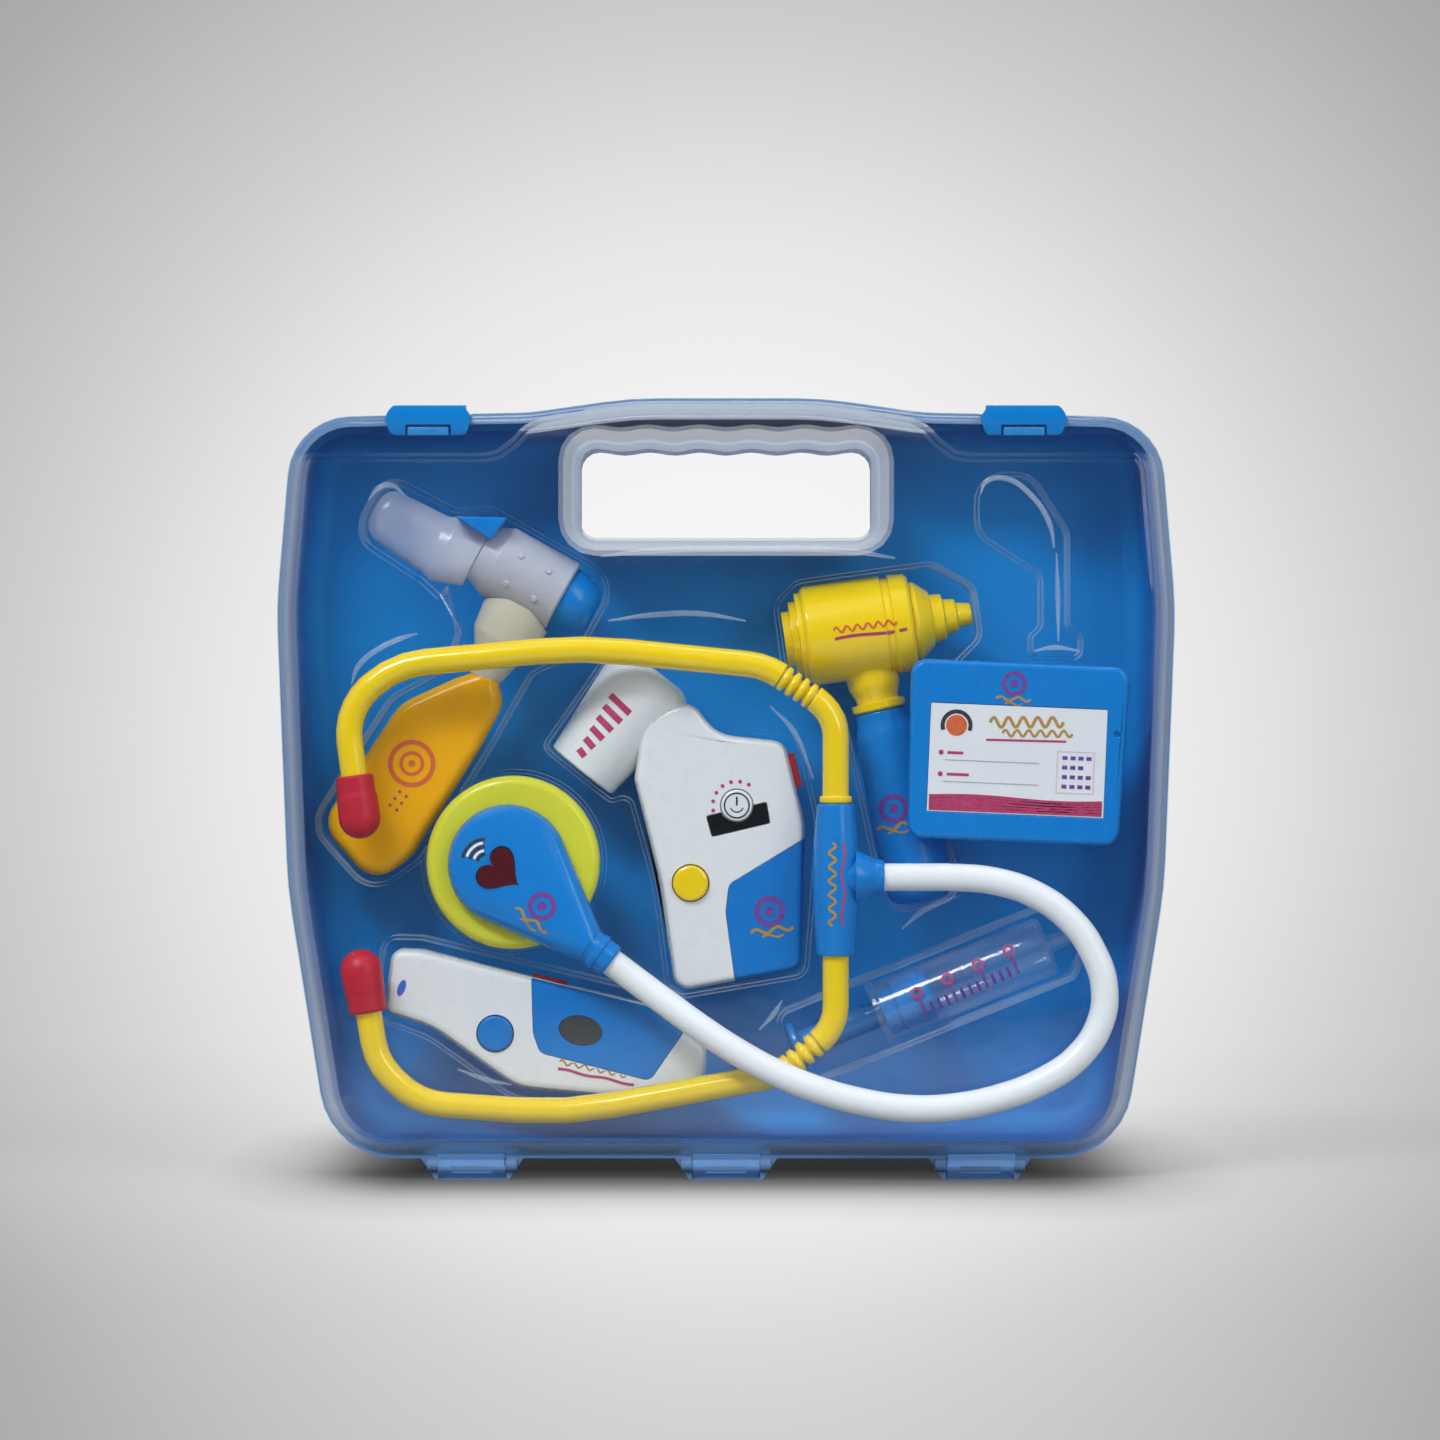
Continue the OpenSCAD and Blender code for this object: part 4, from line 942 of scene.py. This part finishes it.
    def lamps(self) -> None:
        """Hangs the soft lamps and sets the even light around them."""
        for name, place, size, power in (
            ("lamp_key", (-0.55, -0.95, 1.15), (0.6, 0.3), 12.0),
            ("lamp_fill", (0.9, -1.1, 0.7), (0.5, 0.9), 4.5),
            ("lamp_top", (0.1, 0.1, 1.3), (1.0, 0.5), 4.0),
        ):
            Bench.clear()
            bpy.ops.object.light_add(type="AREA", location=place)
            lamp = bpy.context.object
            lamp.name = name
            lamp.data.shape = "RECTANGLE"
            lamp.data.size, lamp.data.size_y = size
            lamp.data.energy = power
            aim = Vector(self.lamp_aim) - Vector(place)
            lamp.rotation_euler = aim.to_track_quat("-Z", "Y").to_euler()
        world = bpy.data.worlds.new("studio_air")
        bpy.context.scene.world = world
        world.use_nodes = True
        tree = world.node_tree
        air = tree.nodes["Background"]
        air.inputs[0].default_value = (0.96, 0.98, 1.0, 1.0)
        split = tree.nodes.new("ShaderNodeSeparateXYZ")
        tree.links.new(tree.nodes.new("ShaderNodeTexCoord").outputs["Generated"], split.inputs[0])
        front = tree.nodes.new("ShaderNodeMapRange")
        for key, value in (("From Min", -0.97), ("From Max", -0.5), ("To Min", 0.05),
                           ("To Max", 0.62)):
            front.inputs[key].default_value = value
        tree.links.new(split.outputs[1], front.inputs["Value"])
        rays = tree.nodes.new("ShaderNodeLightPath")
        pick = tree.nodes.new("ShaderNodeMix")
        pick.inputs[2].default_value = self.air
        tree.links.new(rays.outputs["Is Glossy Ray"], pick.inputs[0])
        tree.links.new(front.outputs["Result"], pick.inputs[3])
        tree.links.new(pick.outputs[0], air.inputs[1])


@dataclass
class Hose:
    """The white hose from the yoke round to the chest piece."""

    radius: float = 4.35
    plane: float = -12.8
    route: Route = field(default_factory=lambda: [
        (49.5, 0, 95.5), (60, 0, 95.5), (72, -0.3, 95.4), (84, -0.8, 94.3), (97, -1.4, 90),
        (108, -2, 82), (115, -2.7, 72), (118.4, -3.3, 61), (117, -4, 50), (110, -4.8, 39.5),
        (99, -5.7, 32), (86, -6.6, 27), (71, -7.5, 24), (57, -8.3, 23.6), (43, -9, 25.6),
        (29, -9.3, 29.4), (16, -9.3, 34.6), (4, -8.6, 41), (-7, -7, 48), (-17, -4.6, 55),
        (-27, -2.2, 62.3), (-32, -1.4, 66), (-36, -1.4, 69)])

    def build(self) -> None:
        """Lays the hose along its route."""
        points = [Vector((x * MM, (y + self.plane) * MM, z * MM)) for x, y, z in self.route]
        hose = Bench.tube("white_hose", points, self.radius, 8, 8)
        bpy.context.view_layer.update()
        Bench.dress(hose, Finish.HOSE, Body.BASE, "white_hose")
        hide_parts("hose")


@dataclass
class Bead:
    """A fine bead in clear plastic with thin ends, from which the light glints."""

    name: str
    path: list[Point]
    plane: float = -5.0
    radius: float = 0.9
    slot: str = "clear_tray"
    body: Body = Body.BASE

    def build(self) -> None:
        """Builds the bead."""
        points = [Vector((x * MM, self.plane * MM, z * MM)) for x, z in self.path]
        piece = Bench.tube(self.name, points, self.radius, 4, 6)
        knots = piece.data.splines[0].bezier_points
        knots[0].radius = knots[-1].radius = 0.3
        Bench.hold(piece)
        bpy.ops.object.convert(target="MESH")
        Bench.smooth(piece, 60)
        Bench.dress(piece, Finish.BEAD, self.body, self.slot)


@dataclass
class Case:
    """The blue base, the clear lid, the latches and the formed tray."""

    beads: dict[str, list[Point]] = field(default_factory=lambda: {
        "tip": [(-112.8, 213.9), (-109.7, 217.9), (-105.7, 218.9), (-101.1, 215.5)],
        "handle": [(-118.1, 156.2), (-115.9, 161.8), (-109.7, 167.1), (-102.6, 170.5),
                   (-97.3, 172.1)],
        "gun_top": [(-37.2, 176.1), (-23.6, 177.9), (-8.1, 178.3), (6.2, 176.1)],
        "gun_side": [(14, 149.2), (21.4, 141.2), (27.6, 126.2)],
        "syringe": [(55.5, 79), (61.7, 84.3), (67.9, 87.4), (73.2, 89.3)],
        "rod": [(17.7, 56.4), (15.2, 52.4), (10.5, 47.1)],
        "thermometer": [(-84.6, 34.7), (-76.3, 31.6), (-67.6, 29.8)],
        "spare": [(80.3, 216.1), (81.8, 219.8), (88, 221), (95.8, 216.1), (102, 206.8),
                  (103.5, 199)],
        "spare_stem": [(104.2, 197.5), (104.6, 184), (104.8, 169.6)],
        "spare_foot": [(97, 166.5), (103.5, 167.7), (111.6, 166.5)],
    })
    latch_x: float = 93.5
    latch_half: float = 13.55
    latch_low: float = 230.0
    latch_round: float = 6.5
    catch_half: float = 6.4
    catch_depths: Point = (-13.2, -12.5)
    catch_heights: Point = (234.1, 236.7)

    def build(self) -> None:
        """Builds the case."""
        for name, path in self.beads.items():
            Bead("tray_bead_" + name, path).build()
        ledge = [(-39, 195.6), (-23.6, 197.2), (7.4, 197.8), (38.4, 197.2), (52.4, 195)]
        Bead("lid_ledge", ledge, -30.2, 1.0, "clear_lid", Body.LID).build()
        Moulding.make("base_shell", Finish.SHELL, "blue_shell", edge=0.45)
        Moulding.make("lid_shell", Finish.LID, "clear_lid", Body.LID, edge=0.5)
        for side, turn, body in (("left", -1, Body.LATCH_L), ("right", 1, Body.LATCH_R)):
            latch = Moulding.make("latch_" + side, Finish.GLOSS_BLUE, "blue_gloss", body, edge=0)
            self.round_off(latch, turn * self.latch_x)
            self.catch("lid_catch_" + side, turn * self.latch_x)
        Moulding.make("tray", Finish.TRAY, "clear_tray", edge=0.7, segments=3)

    @staticmethod
    def block(name: str, low: tuple[float, float, float],
              high: tuple[float, float, float]) -> bpy.types.Object:
        """Adds a block between two corners.

        Args:
            name: Name of the block.
            low: Its left, front, lower corner in millimetres.
            high: Its right, back, upper corner in millimetres.

        Returns:
            The block.
        """
        Bench.clear()
        bpy.ops.mesh.primitive_cube_add(size=1.0)
        piece = bpy.context.object
        piece.name = name
        for v in piece.data.vertices:
            v.co = Vector([(a + (b - a) * (c + 0.5)) * MM for a, b, c in zip(low, high, v.co)])
        return piece

    def round_off(self, latch: bpy.types.Object, x: float) -> None:
        """Rounds a latch's outline and its edges.

        Args:
            latch: The latch.
            x: Its middle across the case.
        """
        top = max(v.co.z for v in latch.data.vertices) / MM
        middle = (self.latch_low + top) / 2 * MM
        outline = self.block("outline", (x - self.latch_half, -20, self.latch_low),
                             (x + self.latch_half, 20, top))
        Bench.pick(outline, lambda a, b: min(a.z, b.z) > middle and abs(a.y - b.y) > 10 * MM)
        with Bench.editing(outline):
            bpy.ops.mesh.bevel(offset=self.latch_round * MM, segments=8)
        Bench.modify(latch, "BOOLEAN", operation="INTERSECT", object=outline, solver="EXACT")
        bpy.data.objects.remove(outline)
        Bench.modify(latch, "BEVEL", width=0.5 * MM, segments=3, limit_method="ANGLE",
                     angle_limit=Moulding.crease, use_clamp_overlap=True)
        Bench.smooth(latch, 34)
        Bench.modify(latch, "WEIGHTED_NORMAL", keep_sharp=True, weight=60)

    def catch(self, name: str, x: float) -> None:
        """Adds the pale bar of the lid that a latch closes over.

        Args:
            name: Name of the bar.
            x: Its middle across the case.
        """
        front, back = self.catch_depths
        low, high = self.catch_heights
        bar = self.block(name, (x - self.catch_half, front, low), (x + self.catch_half, back, high))
        Bench.modify(bar, "BEVEL", width=0.3 * MM, segments=3)
        Bench.smooth(bar, 40)
        Bench.dress(bar, Finish.PALE_BLUE, Body.LID, "pale_blue")


@dataclass
class Stethoscope:
    """Ear tubes, tips, yoke and chest piece."""

    motif_at: Point = (-58.6, 85.2)
    sound_at: Point = (-79.0, 104.0)

    def build(self) -> None:
        """Builds the stethoscope."""
        for side in ("upper", "lower"):
            Moulding.make("ear_tube_" + side, Finish.YELLOW, "yellow", edge=0, angle=62)
            Moulding.make("ear_tip_" + side, Finish.RED_SOFT, "red_soft", edge=0.3)
        Moulding.make("yoke", Finish.GLOSS_BLUE, "blue_gloss", edge=0.5, angle=42)
        self.trim("yoke_collar", Finish.YELLOW, "yellow", (34.4, 119.9), turn=0.0, foot=5.1,
                  top=5.1, height=2.4)
        self.trim("yoke_flare", Finish.GLOSS_BLUE, "blue_gloss", (44.0, 95.5), turn=90.0, foot=8.6,
                  top=5.4, height=7.0)
        Moulding.make("chest_disc", Finish.LIME, "lime", edge=2.4, segments=6)
        Moulding.make("chest_diaphragm", Finish.MILKY, "milky", edge=0.2)
        Moulding.make("chest_cap", Finish.GLOSS_BLUE, "blue_gloss", edge=0.5, angle=42)
        Moulding.make("chest_heart", Finish.RUBY, "ruby", Body.HEART, edge=0.45, segments=3)
        self.prints()

    @staticmethod
    def trim(name: str, finish: Finish, slot: str, at: Point, turn: float, foot: float,
             top: float, height: float) -> None:
        """Adds a round collar or cone on a tube that lies in the picture plane.

        Args:
            name: Name of the piece.
            finish: Its finish.
            slot: The record's slot.
            at: Its middle, in millimetres.
            turn: Turn of its axis from upright towards the right, in degrees.
            foot: Radius at its lower or left end.
            top: Radius at its other end.
            height: Its length.
        """
        Bench.clear()
        bpy.ops.mesh.primitive_cone_add(vertices=40, radius1=foot * MM, radius2=top * MM,
                                        depth=height * MM,
                                        location=(at[0] * MM, Hose.plane * MM, at[1] * MM),
                                        rotation=(0, math.radians(turn), 0))
        bpy.ops.object.transform_apply(location=True, rotation=True, scale=True)
        piece = bpy.context.object
        piece.name = name
        Bench.modify(piece, "BEVEL", width=0.6 * MM, segments=3, limit_method="ANGLE")
        Bench.smooth(piece, 40)
        Bench.dress(piece, finish, Body.BASE, slot)

    def prints(self) -> None:
        """Lays the ink on the yoke and the cap."""
        label = Print("yoke_line", Finish.INK_MAGENTA, "red", "yoke", (36.6, 93.5), 90)
        label.wave((-13, 0), (13, 0), 0.5, 2, 0.7).lay()
        gold = Print("yoke_wave", Finish.INK_GOLD, "yellow", "yoke", (33.2, 93.5), 90)
        gold.wave((-13, 0), (13, 0), 1.1, 6, 0.8).lay()
        black = Print("sound_black", Finish.INK_BLACK, "dark", "chest_cap", self.sound_at, 0)
        white = Print("sound_white", Finish.INK_WHITE, "white", "chest_cap", self.sound_at, 0)
        for k, radius in enumerate((2.6, 5.0, 7.4)):
            black.ring((3.8, -3.8), radius, 1.0, 92, 168)
            if k < 2:
                white.ring((3.8, -3.8), radius + 1.2, 0.8, 98, 162)
        black.lay()
        white.lay()
        bloom("cap_bloom", "chest_cap", self.motif_at, 12.5, -37)


@dataclass
class PulseGun:
    """The white pulse gun with its dial, window, button and trigger."""

    barrel_at: Point = (-46.0, 128.5)
    barrel_turn: float = 51.5
    dial_at: Point = (3.4, 117.8)

    def build(self) -> None:
        """Builds the gun."""
        Moulding.make("gun_rear", Finish.WHITE, "white", edge=0.3, clamp=False)
        Moulding.make("gun_front", Finish.WHITE, "white", edge=0.3, angle=40, clamp=False)
        Moulding.make("gun_panel", Finish.PANEL_BLUE, "blue_gloss", edge=0.25)
        Moulding.make("gun_lens", Finish.DARK, "dark", edge=0.2)
        Moulding.make("gun_window", Finish.DARK, "dark", edge=0.15)
        Moulding.make("gun_button", Finish.YELLOW, "yellow", Body.GUN_BUTTON, edge=0.4, segments=3)
        Moulding.make("gun_dial", Finish.WHITE, "white", Body.GUN_DIAL, edge=0.3)
        Moulding.make("gun_trigger", Finish.RED, "red", Body.GUN_TRIGGER, edge=0.3)
        self.prints()

    def prints(self) -> None:
        """Lays the ink on the barrel, dial and panel."""
        meter = Print("barrel_meter", Finish.INK_MAGENTA, "red", "gun_front", self.barrel_at,
                      self.barrel_turn)
        for k in range(6):
            half = 1.5 + 0.55 * k
            u = 4.6 + 3.9 * k
            meter.line([(u + 0.06 * i, 3.4 + half * (i / 6 - 1)) for i in range(13)], 2.1)
        meter.lay()
        dots = Print("dial_dots", Finish.INK_MAGENTA, "red", "gun_front", self.dial_at)
        for angle in map(math.radians, range(60, 200, 22)):
            dots.disc((7.6 * math.cos(angle), 7.6 * math.sin(angle)), 0.62)
        dots.lay()
        ring = Print("dial_ring", Finish.INK_BLACK, "dark", "gun_dial", self.dial_at, 0,
                     Body.GUN_DIAL)
        ring.ring((0, 0), 3.9, 0.5).line([(0, 0), (0, 1.4), (0, 2.8)], 0.6)
        ring.ring((0, 0), 2.1, 0.4, 200, 340).lay()
        bloom("gun_bloom", "gun_panel", (14.0, 82.5), 13.5, 8)


@dataclass
class Thermometer:
    """The white thermometer with its blue panel, button, window and switch."""

    drop_at: Point = (-102.3, 60.3)
    lines_at: Point = (-40.5, 33.6)

    def build(self) -> None:
        """Builds the thermometer."""
        Moulding.make("thermo_rear", Finish.WHITE, "white", edge=0.4)
        Moulding.make("thermo_front", Finish.WHITE, "white", edge=0.4, angle=40)
        Moulding.make("thermo_panel", Finish.PANEL_BLUE, "blue_gloss", edge=0.25)
        Moulding.make("thermo_button", Finish.PANEL_BLUE, "blue_gloss", Body.THERMO_BUTTON,
                      edge=0.35, segments=3)
        Moulding.make("thermo_display", Finish.SMOKE, "dark", edge=0.2)
        Moulding.make("thermo_switch", Finish.RED, "red", Body.THERMO_SWITCH, edge=0.25)
        on = "thermo_front"
        drop = Print("thermo_drop", Finish.INK_BLUE, "blue_gloss", on, self.drop_at, 70)
        drop.disc((0, 0), 1.2, 2.2).lay()
        line = Print("thermo_line_red", Finish.INK_MAGENTA, "red", on, self.lines_at, -12)
        line.wave((-12.5, -1.4), (12, -1.4), 0.25, 2, 0.9).lay()
        wave = Print("thermo_line_gold", Finish.INK_GOLD, "yellow", on, self.lines_at, -12)
        wave.wave((-12.5, 0.9), (9, 0.9), 0.7, 6, 0.6).lay()


@dataclass
class Hammer:
    """The reflex hammer: milky head, blue dome and amber handle.

    The head and the neck are drawn wider than their solids, by stations along their axes: the
    place along the axis, the shift across it and the stretch across it. Points further from an
    axis than the reach stay.
    """

    head: Route = field(default_factory=lambda: [
        (-72, -3.6, 1.3), (-60, -4.4, 1.36), (-48, -5.2, 1.4), (-38, -4.0, 1.26),
        (-29.7, -1.4, 1.15), (-25, 0.0, 1.0)])
    head_at: Point = (-51.8, 183.7)
    head_turn: float = -29.0
    neck: Route = field(default_factory=lambda: [(0, 0, 1.0), (12, 0, 1.15), (26, 0, 1.28)])
    neck_at: Point = (-77.0, 158.0)
    neck_turn: float = 63.0
    reach: float = 14.5
    lug_corners: tuple[Point, ...] = ((-85.3, 209.0), (-69.0, 208.6), (-74.2, 201.6))
    lug_middle: float = -0.5
    lug_half: float = 6.5

    def build(self) -> None:
        """Builds the hammer."""
        Moulding.make("hammer_handle", Finish.AMBER, "amber", edge=0.6, segments=3, angle=42)
        socket = Moulding.make("hammer_socket", Finish.IVORY, "milky", edge=0.4)
        self.widen(socket, self.neck_at, self.neck_turn, self.neck)
        Moulding.make("hammer_sleeve", Finish.MILKY, "milky", edge=0.3, angle=42)
        Moulding.make("hammer_core", Finish.GLOSS_BLUE, "blue_gloss", edge=0.5)
        tip = Moulding.make("hammer_tip", Finish.TIP, "milky", edge=0.6, segments=3)
        for piece in (tip, Moulding.made["tray"]):
            self.widen(piece, self.head_at, self.head_turn, self.head)
        self.lug()
        mark = Print("handle_rings", Finish.INK_ORANGE, "red", "hammer_handle", (-99.5, 131.0), 55)
        mark.ring((0, 0), 6.8, 1.5).ring((0, 0), 3.4, 1.1).disc((0, 0), 1.1).lay()
        dots = Print("handle_dots", Finish.INK_MAGENTA, "red", "hammer_handle", (-103.8, 119.2), 55)
        for k in range(6):
            dots.disc((-2.6 + 2.6 * (k % 3), 1.3 - 2.6 * (k // 3)), 0.5)
        dots.lay()

    def widen(self, piece: bpy.types.Object, origin: Point, turn: float, stations: Route) -> None:
        """Draws a piece out across an axis in the picture plane.

        Args:
            piece: The piece.
            origin: A point on its axis, in millimetres.
            turn: Direction of its axis in degrees.
            stations: Place along the axis, shift across it and stretch across it.
        """
        c, s = math.cos(math.radians(turn)), math.sin(math.radians(turn))
        for v in piece.data.vertices:
            x, z = v.co.x / MM - origin[0], v.co.z / MM - origin[1]
            along, across = x * c + z * s, z * c - x * s
            if abs(across) > self.reach:
                continue
            for (a, shift_a, by_a), (b, shift_b, by_b) in zip(stations, stations[1:]):
                if a <= along <= b:
                    t = (along - a) / (b - a)
                    stretch = by_a + (by_b - by_a) * t
                    across = shift_a + (shift_b - shift_a) * t + across * stretch
                    break
            v.co.x = (origin[0] + along * c - across * s) * MM
            v.co.z = (origin[1] + along * s + across * c) * MM
        Bench.smooth(piece, 34)

    def lug(self) -> None:
        """Adds the blue lug that shows between the tip and the sleeve."""
        Bench.clear()
        bpy.ops.mesh.primitive_cylinder_add(vertices=3, radius=1, depth=2)
        piece = bpy.context.object
        piece.name = "hammer_lug"
        for v in piece.data.vertices:
            corner = round(math.degrees(math.atan2(v.co.x, v.co.y)) / 120) % 3
            x, z = self.lug_corners[corner]
            v.co = (x * MM, (self.lug_middle + self.lug_half * v.co.z) * MM, z * MM)
        with Bench.editing(piece):
            bpy.ops.mesh.select_all(action="SELECT")
            bpy.ops.mesh.normals_make_consistent(inside=False)
        Bench.modify(piece, "BEVEL", width=0.5 * MM, segments=3)
        Bench.smooth(piece, 40)
        Bench.dress(piece, Finish.GLOSS_BLUE, Body.BASE, "blue_gloss")


@dataclass
class EarScope:
    """The yellow ear scope on its blue handle."""

    def build(self) -> None:
        """Builds the scope."""
        Moulding.make("scope_head", Finish.YELLOW, "yellow", edge=0.4)
        Moulding.make("scope_nozzle", Finish.YELLOW, "yellow", edge=0.3)
        Moulding.make("scope_handle", Finish.GLOSS_BLUE, "blue_gloss", edge=0.4)
        line = Print("scope_line", Finish.INK_MAGENTA, "red", "scope_head", (45.0, 173.4), 8)
        line.wave((-11, -1.6), (12, -1.6), 0.3, 1, 1.0).lay()
        wave = Print("scope_wave", Finish.INK_ORANGE, "red", "scope_head", (45.0, 173.4), 8)
        wave.wave((-11, 1.1), (9, 1.1), 0.9, 6, 0.7).lay()
        bloom("handle_bloom", "scope_handle", (53.4, 115.0), 13.0, 12)


@dataclass
class Syringe:
    """The clear syringe with its blue piston and pale rod."""

    origin: Point = (77.2, 63.2)
    turn: float = 22.0

    def build(self) -> None:
        """Builds the syringe."""
        Moulding.make("syringe_barrel", Finish.BARREL, "clear_lid", edge=0.3)
        Moulding.make("syringe_plunger", Finish.PALE_BLUE, "pale_blue", Body.PLUNGER, edge=0.3)
        Moulding.make("syringe_piston", Finish.GLOSS_BLUE, "blue_gloss", Body.PLUNGER, edge=0.5)
        ticks = Print("syringe_ticks", Finish.INK_PURPLE, "dark", "syringe_barrel", self.origin,
                      self.turn + 2.5)
        rings = Print("syringe_rings", Finish.INK_MAGENTA, "red", "syringe_barrel", self.origin,
                      self.turn + 2.5)
        for k in range(13):
            u = -17.3 + 2.65 * k
            high = 1.6 if k % 4 == 0 else -1.4
            ticks.line([(u, -5.0), (u, (high - 5.0) / 2), (u, high)], 1.0)
            if k % 4 == 0:
                rings.ring((u, 3.0), 1.5, 0.8)
        ticks.lay()
        rings.lay()


@dataclass
class Badge:
    """The blue badge and its printed card."""

    turn: float = -2.4

    def build(self) -> None:
        """Builds the badge."""
        Moulding.make("badge_frame", Finish.GLOSS_BLUE, "blue_gloss", edge=0.5, clamp=False)
        Moulding.make("badge_card", Finish.CARD, "card", edge=0.1)
        low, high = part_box("badge_card")
        middle = ((low.x + high.x) / 2 / MM, (low.z + high.z) / 2 / MM)
        self.card(middle)
        bloom("badge_bloom", "badge_frame", (middle[0] - 1.0, middle[1] + 22.6), 11.0, self.turn)

    def card(self, at: Point) -> None:
        """Prints the card: a band, a boxed panel, two ruled lines and a round spot.

        Args:
            at: Middle of the card, in millimetres.
        """
        def ink(name: str, finish: Finish, slot: str = "card") -> Print:
            """Returns an empty print on the card."""
            return Print(name, finish, slot, "badge_card", at, self.turn)

        band = ink("card_band", Finish.INK_MAGENTA, "red")
        for k in range(5):
            band.line([(-27.2 + 2.72 * i, -16.1 + 0.95 * k + (0.5 * k / 4) * math.sin(i / 3.2))
                       for i in range(21)], 1.15)
        band.line([(-10 + 1.2 * i, 6.1 + 0.02 * i) for i in range(22)], 0.7)
        band.disc((-24.0, 1.6), 0.8).disc((-24.0, -5.2), 0.8)
        band.line([(-22 + i, 1.6) for i in range(6)], 0.9)
        band.line([(-22 + i, -5.2) for i in range(8)], 0.9).lay()
        gold = ink("card_flourish", Finish.INK_GOLD, "yellow")
        gold.wave((-9, 11.6), (14, 12.6), 1.6, 5, 1.0).wave((-5, 8.4), (17, 9.0), 1.0, 6, 0.8).lay()
        rules = ink("card_rules", Finish.INK_GREY)
        rules.line([(-23 + 2 * i, -0.7) for i in range(16)], 0.3)
        rules.line([(-23 + 2 * i, -7.5) for i in range(16)], 0.3).lay()
        spot = ink("card_spot", Finish.INK_ORANGE, "red")
        spot.disc((-19.5, 10.2), 3.3).lay()
        halo = ink("card_halo", Finish.INK_BLACK, "dark")
        halo.ring((-19.5, 10.2), 4.4, 1.3, -20, 200).lay()
        panel = ink("card_panel", Finish.INK_BLUSH)
        panel.line([(12.6, -9.6), (12.6, 3.4), (24.2, 3.4), (24.2, -9.6)], 0.5, closed=True)
        panel.lay()
        rows = ink("card_rows", Finish.INK_PURPLE)
        for r in range(4):
            for c in range(4 - (r == 1)):
                rows.line([(14.2 + 2.5 * c, 1.4 - 3.0 * r), (15.0 + 2.5 * c, 1.4 - 3.0 * r),
                           (15.8 + 2.5 * c, 1.4 - 3.0 * r)], 1.2)
        rows.lay()


def main(frame: dict[str, Any]) -> None:
    """Builds the studio and every sub-assembly.
    """
    bpy.context.scene.view_settings.view_transform = "Standard"
    bpy.context.scene.cycles.transparent_max_bounces = 32
    Moulding.nodes = frame["nodes"]
    studio = Studio()
    studio.camera()
    Hose().build()
    for assembly in (Case(), Stethoscope(), PulseGun(), Thermometer(), Hammer(), EarScope(),
                     Syringe(), Badge()):
        assembly.build()
        LOG.info("%s done", type(assembly).__name__)
    studio.sweep()
    studio.lamps()


if __name__ == "__main__":
    logging.basicConfig(level=logging.INFO, format="%(name)s: %(message)s")
    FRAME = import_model()
    main(FRAME)
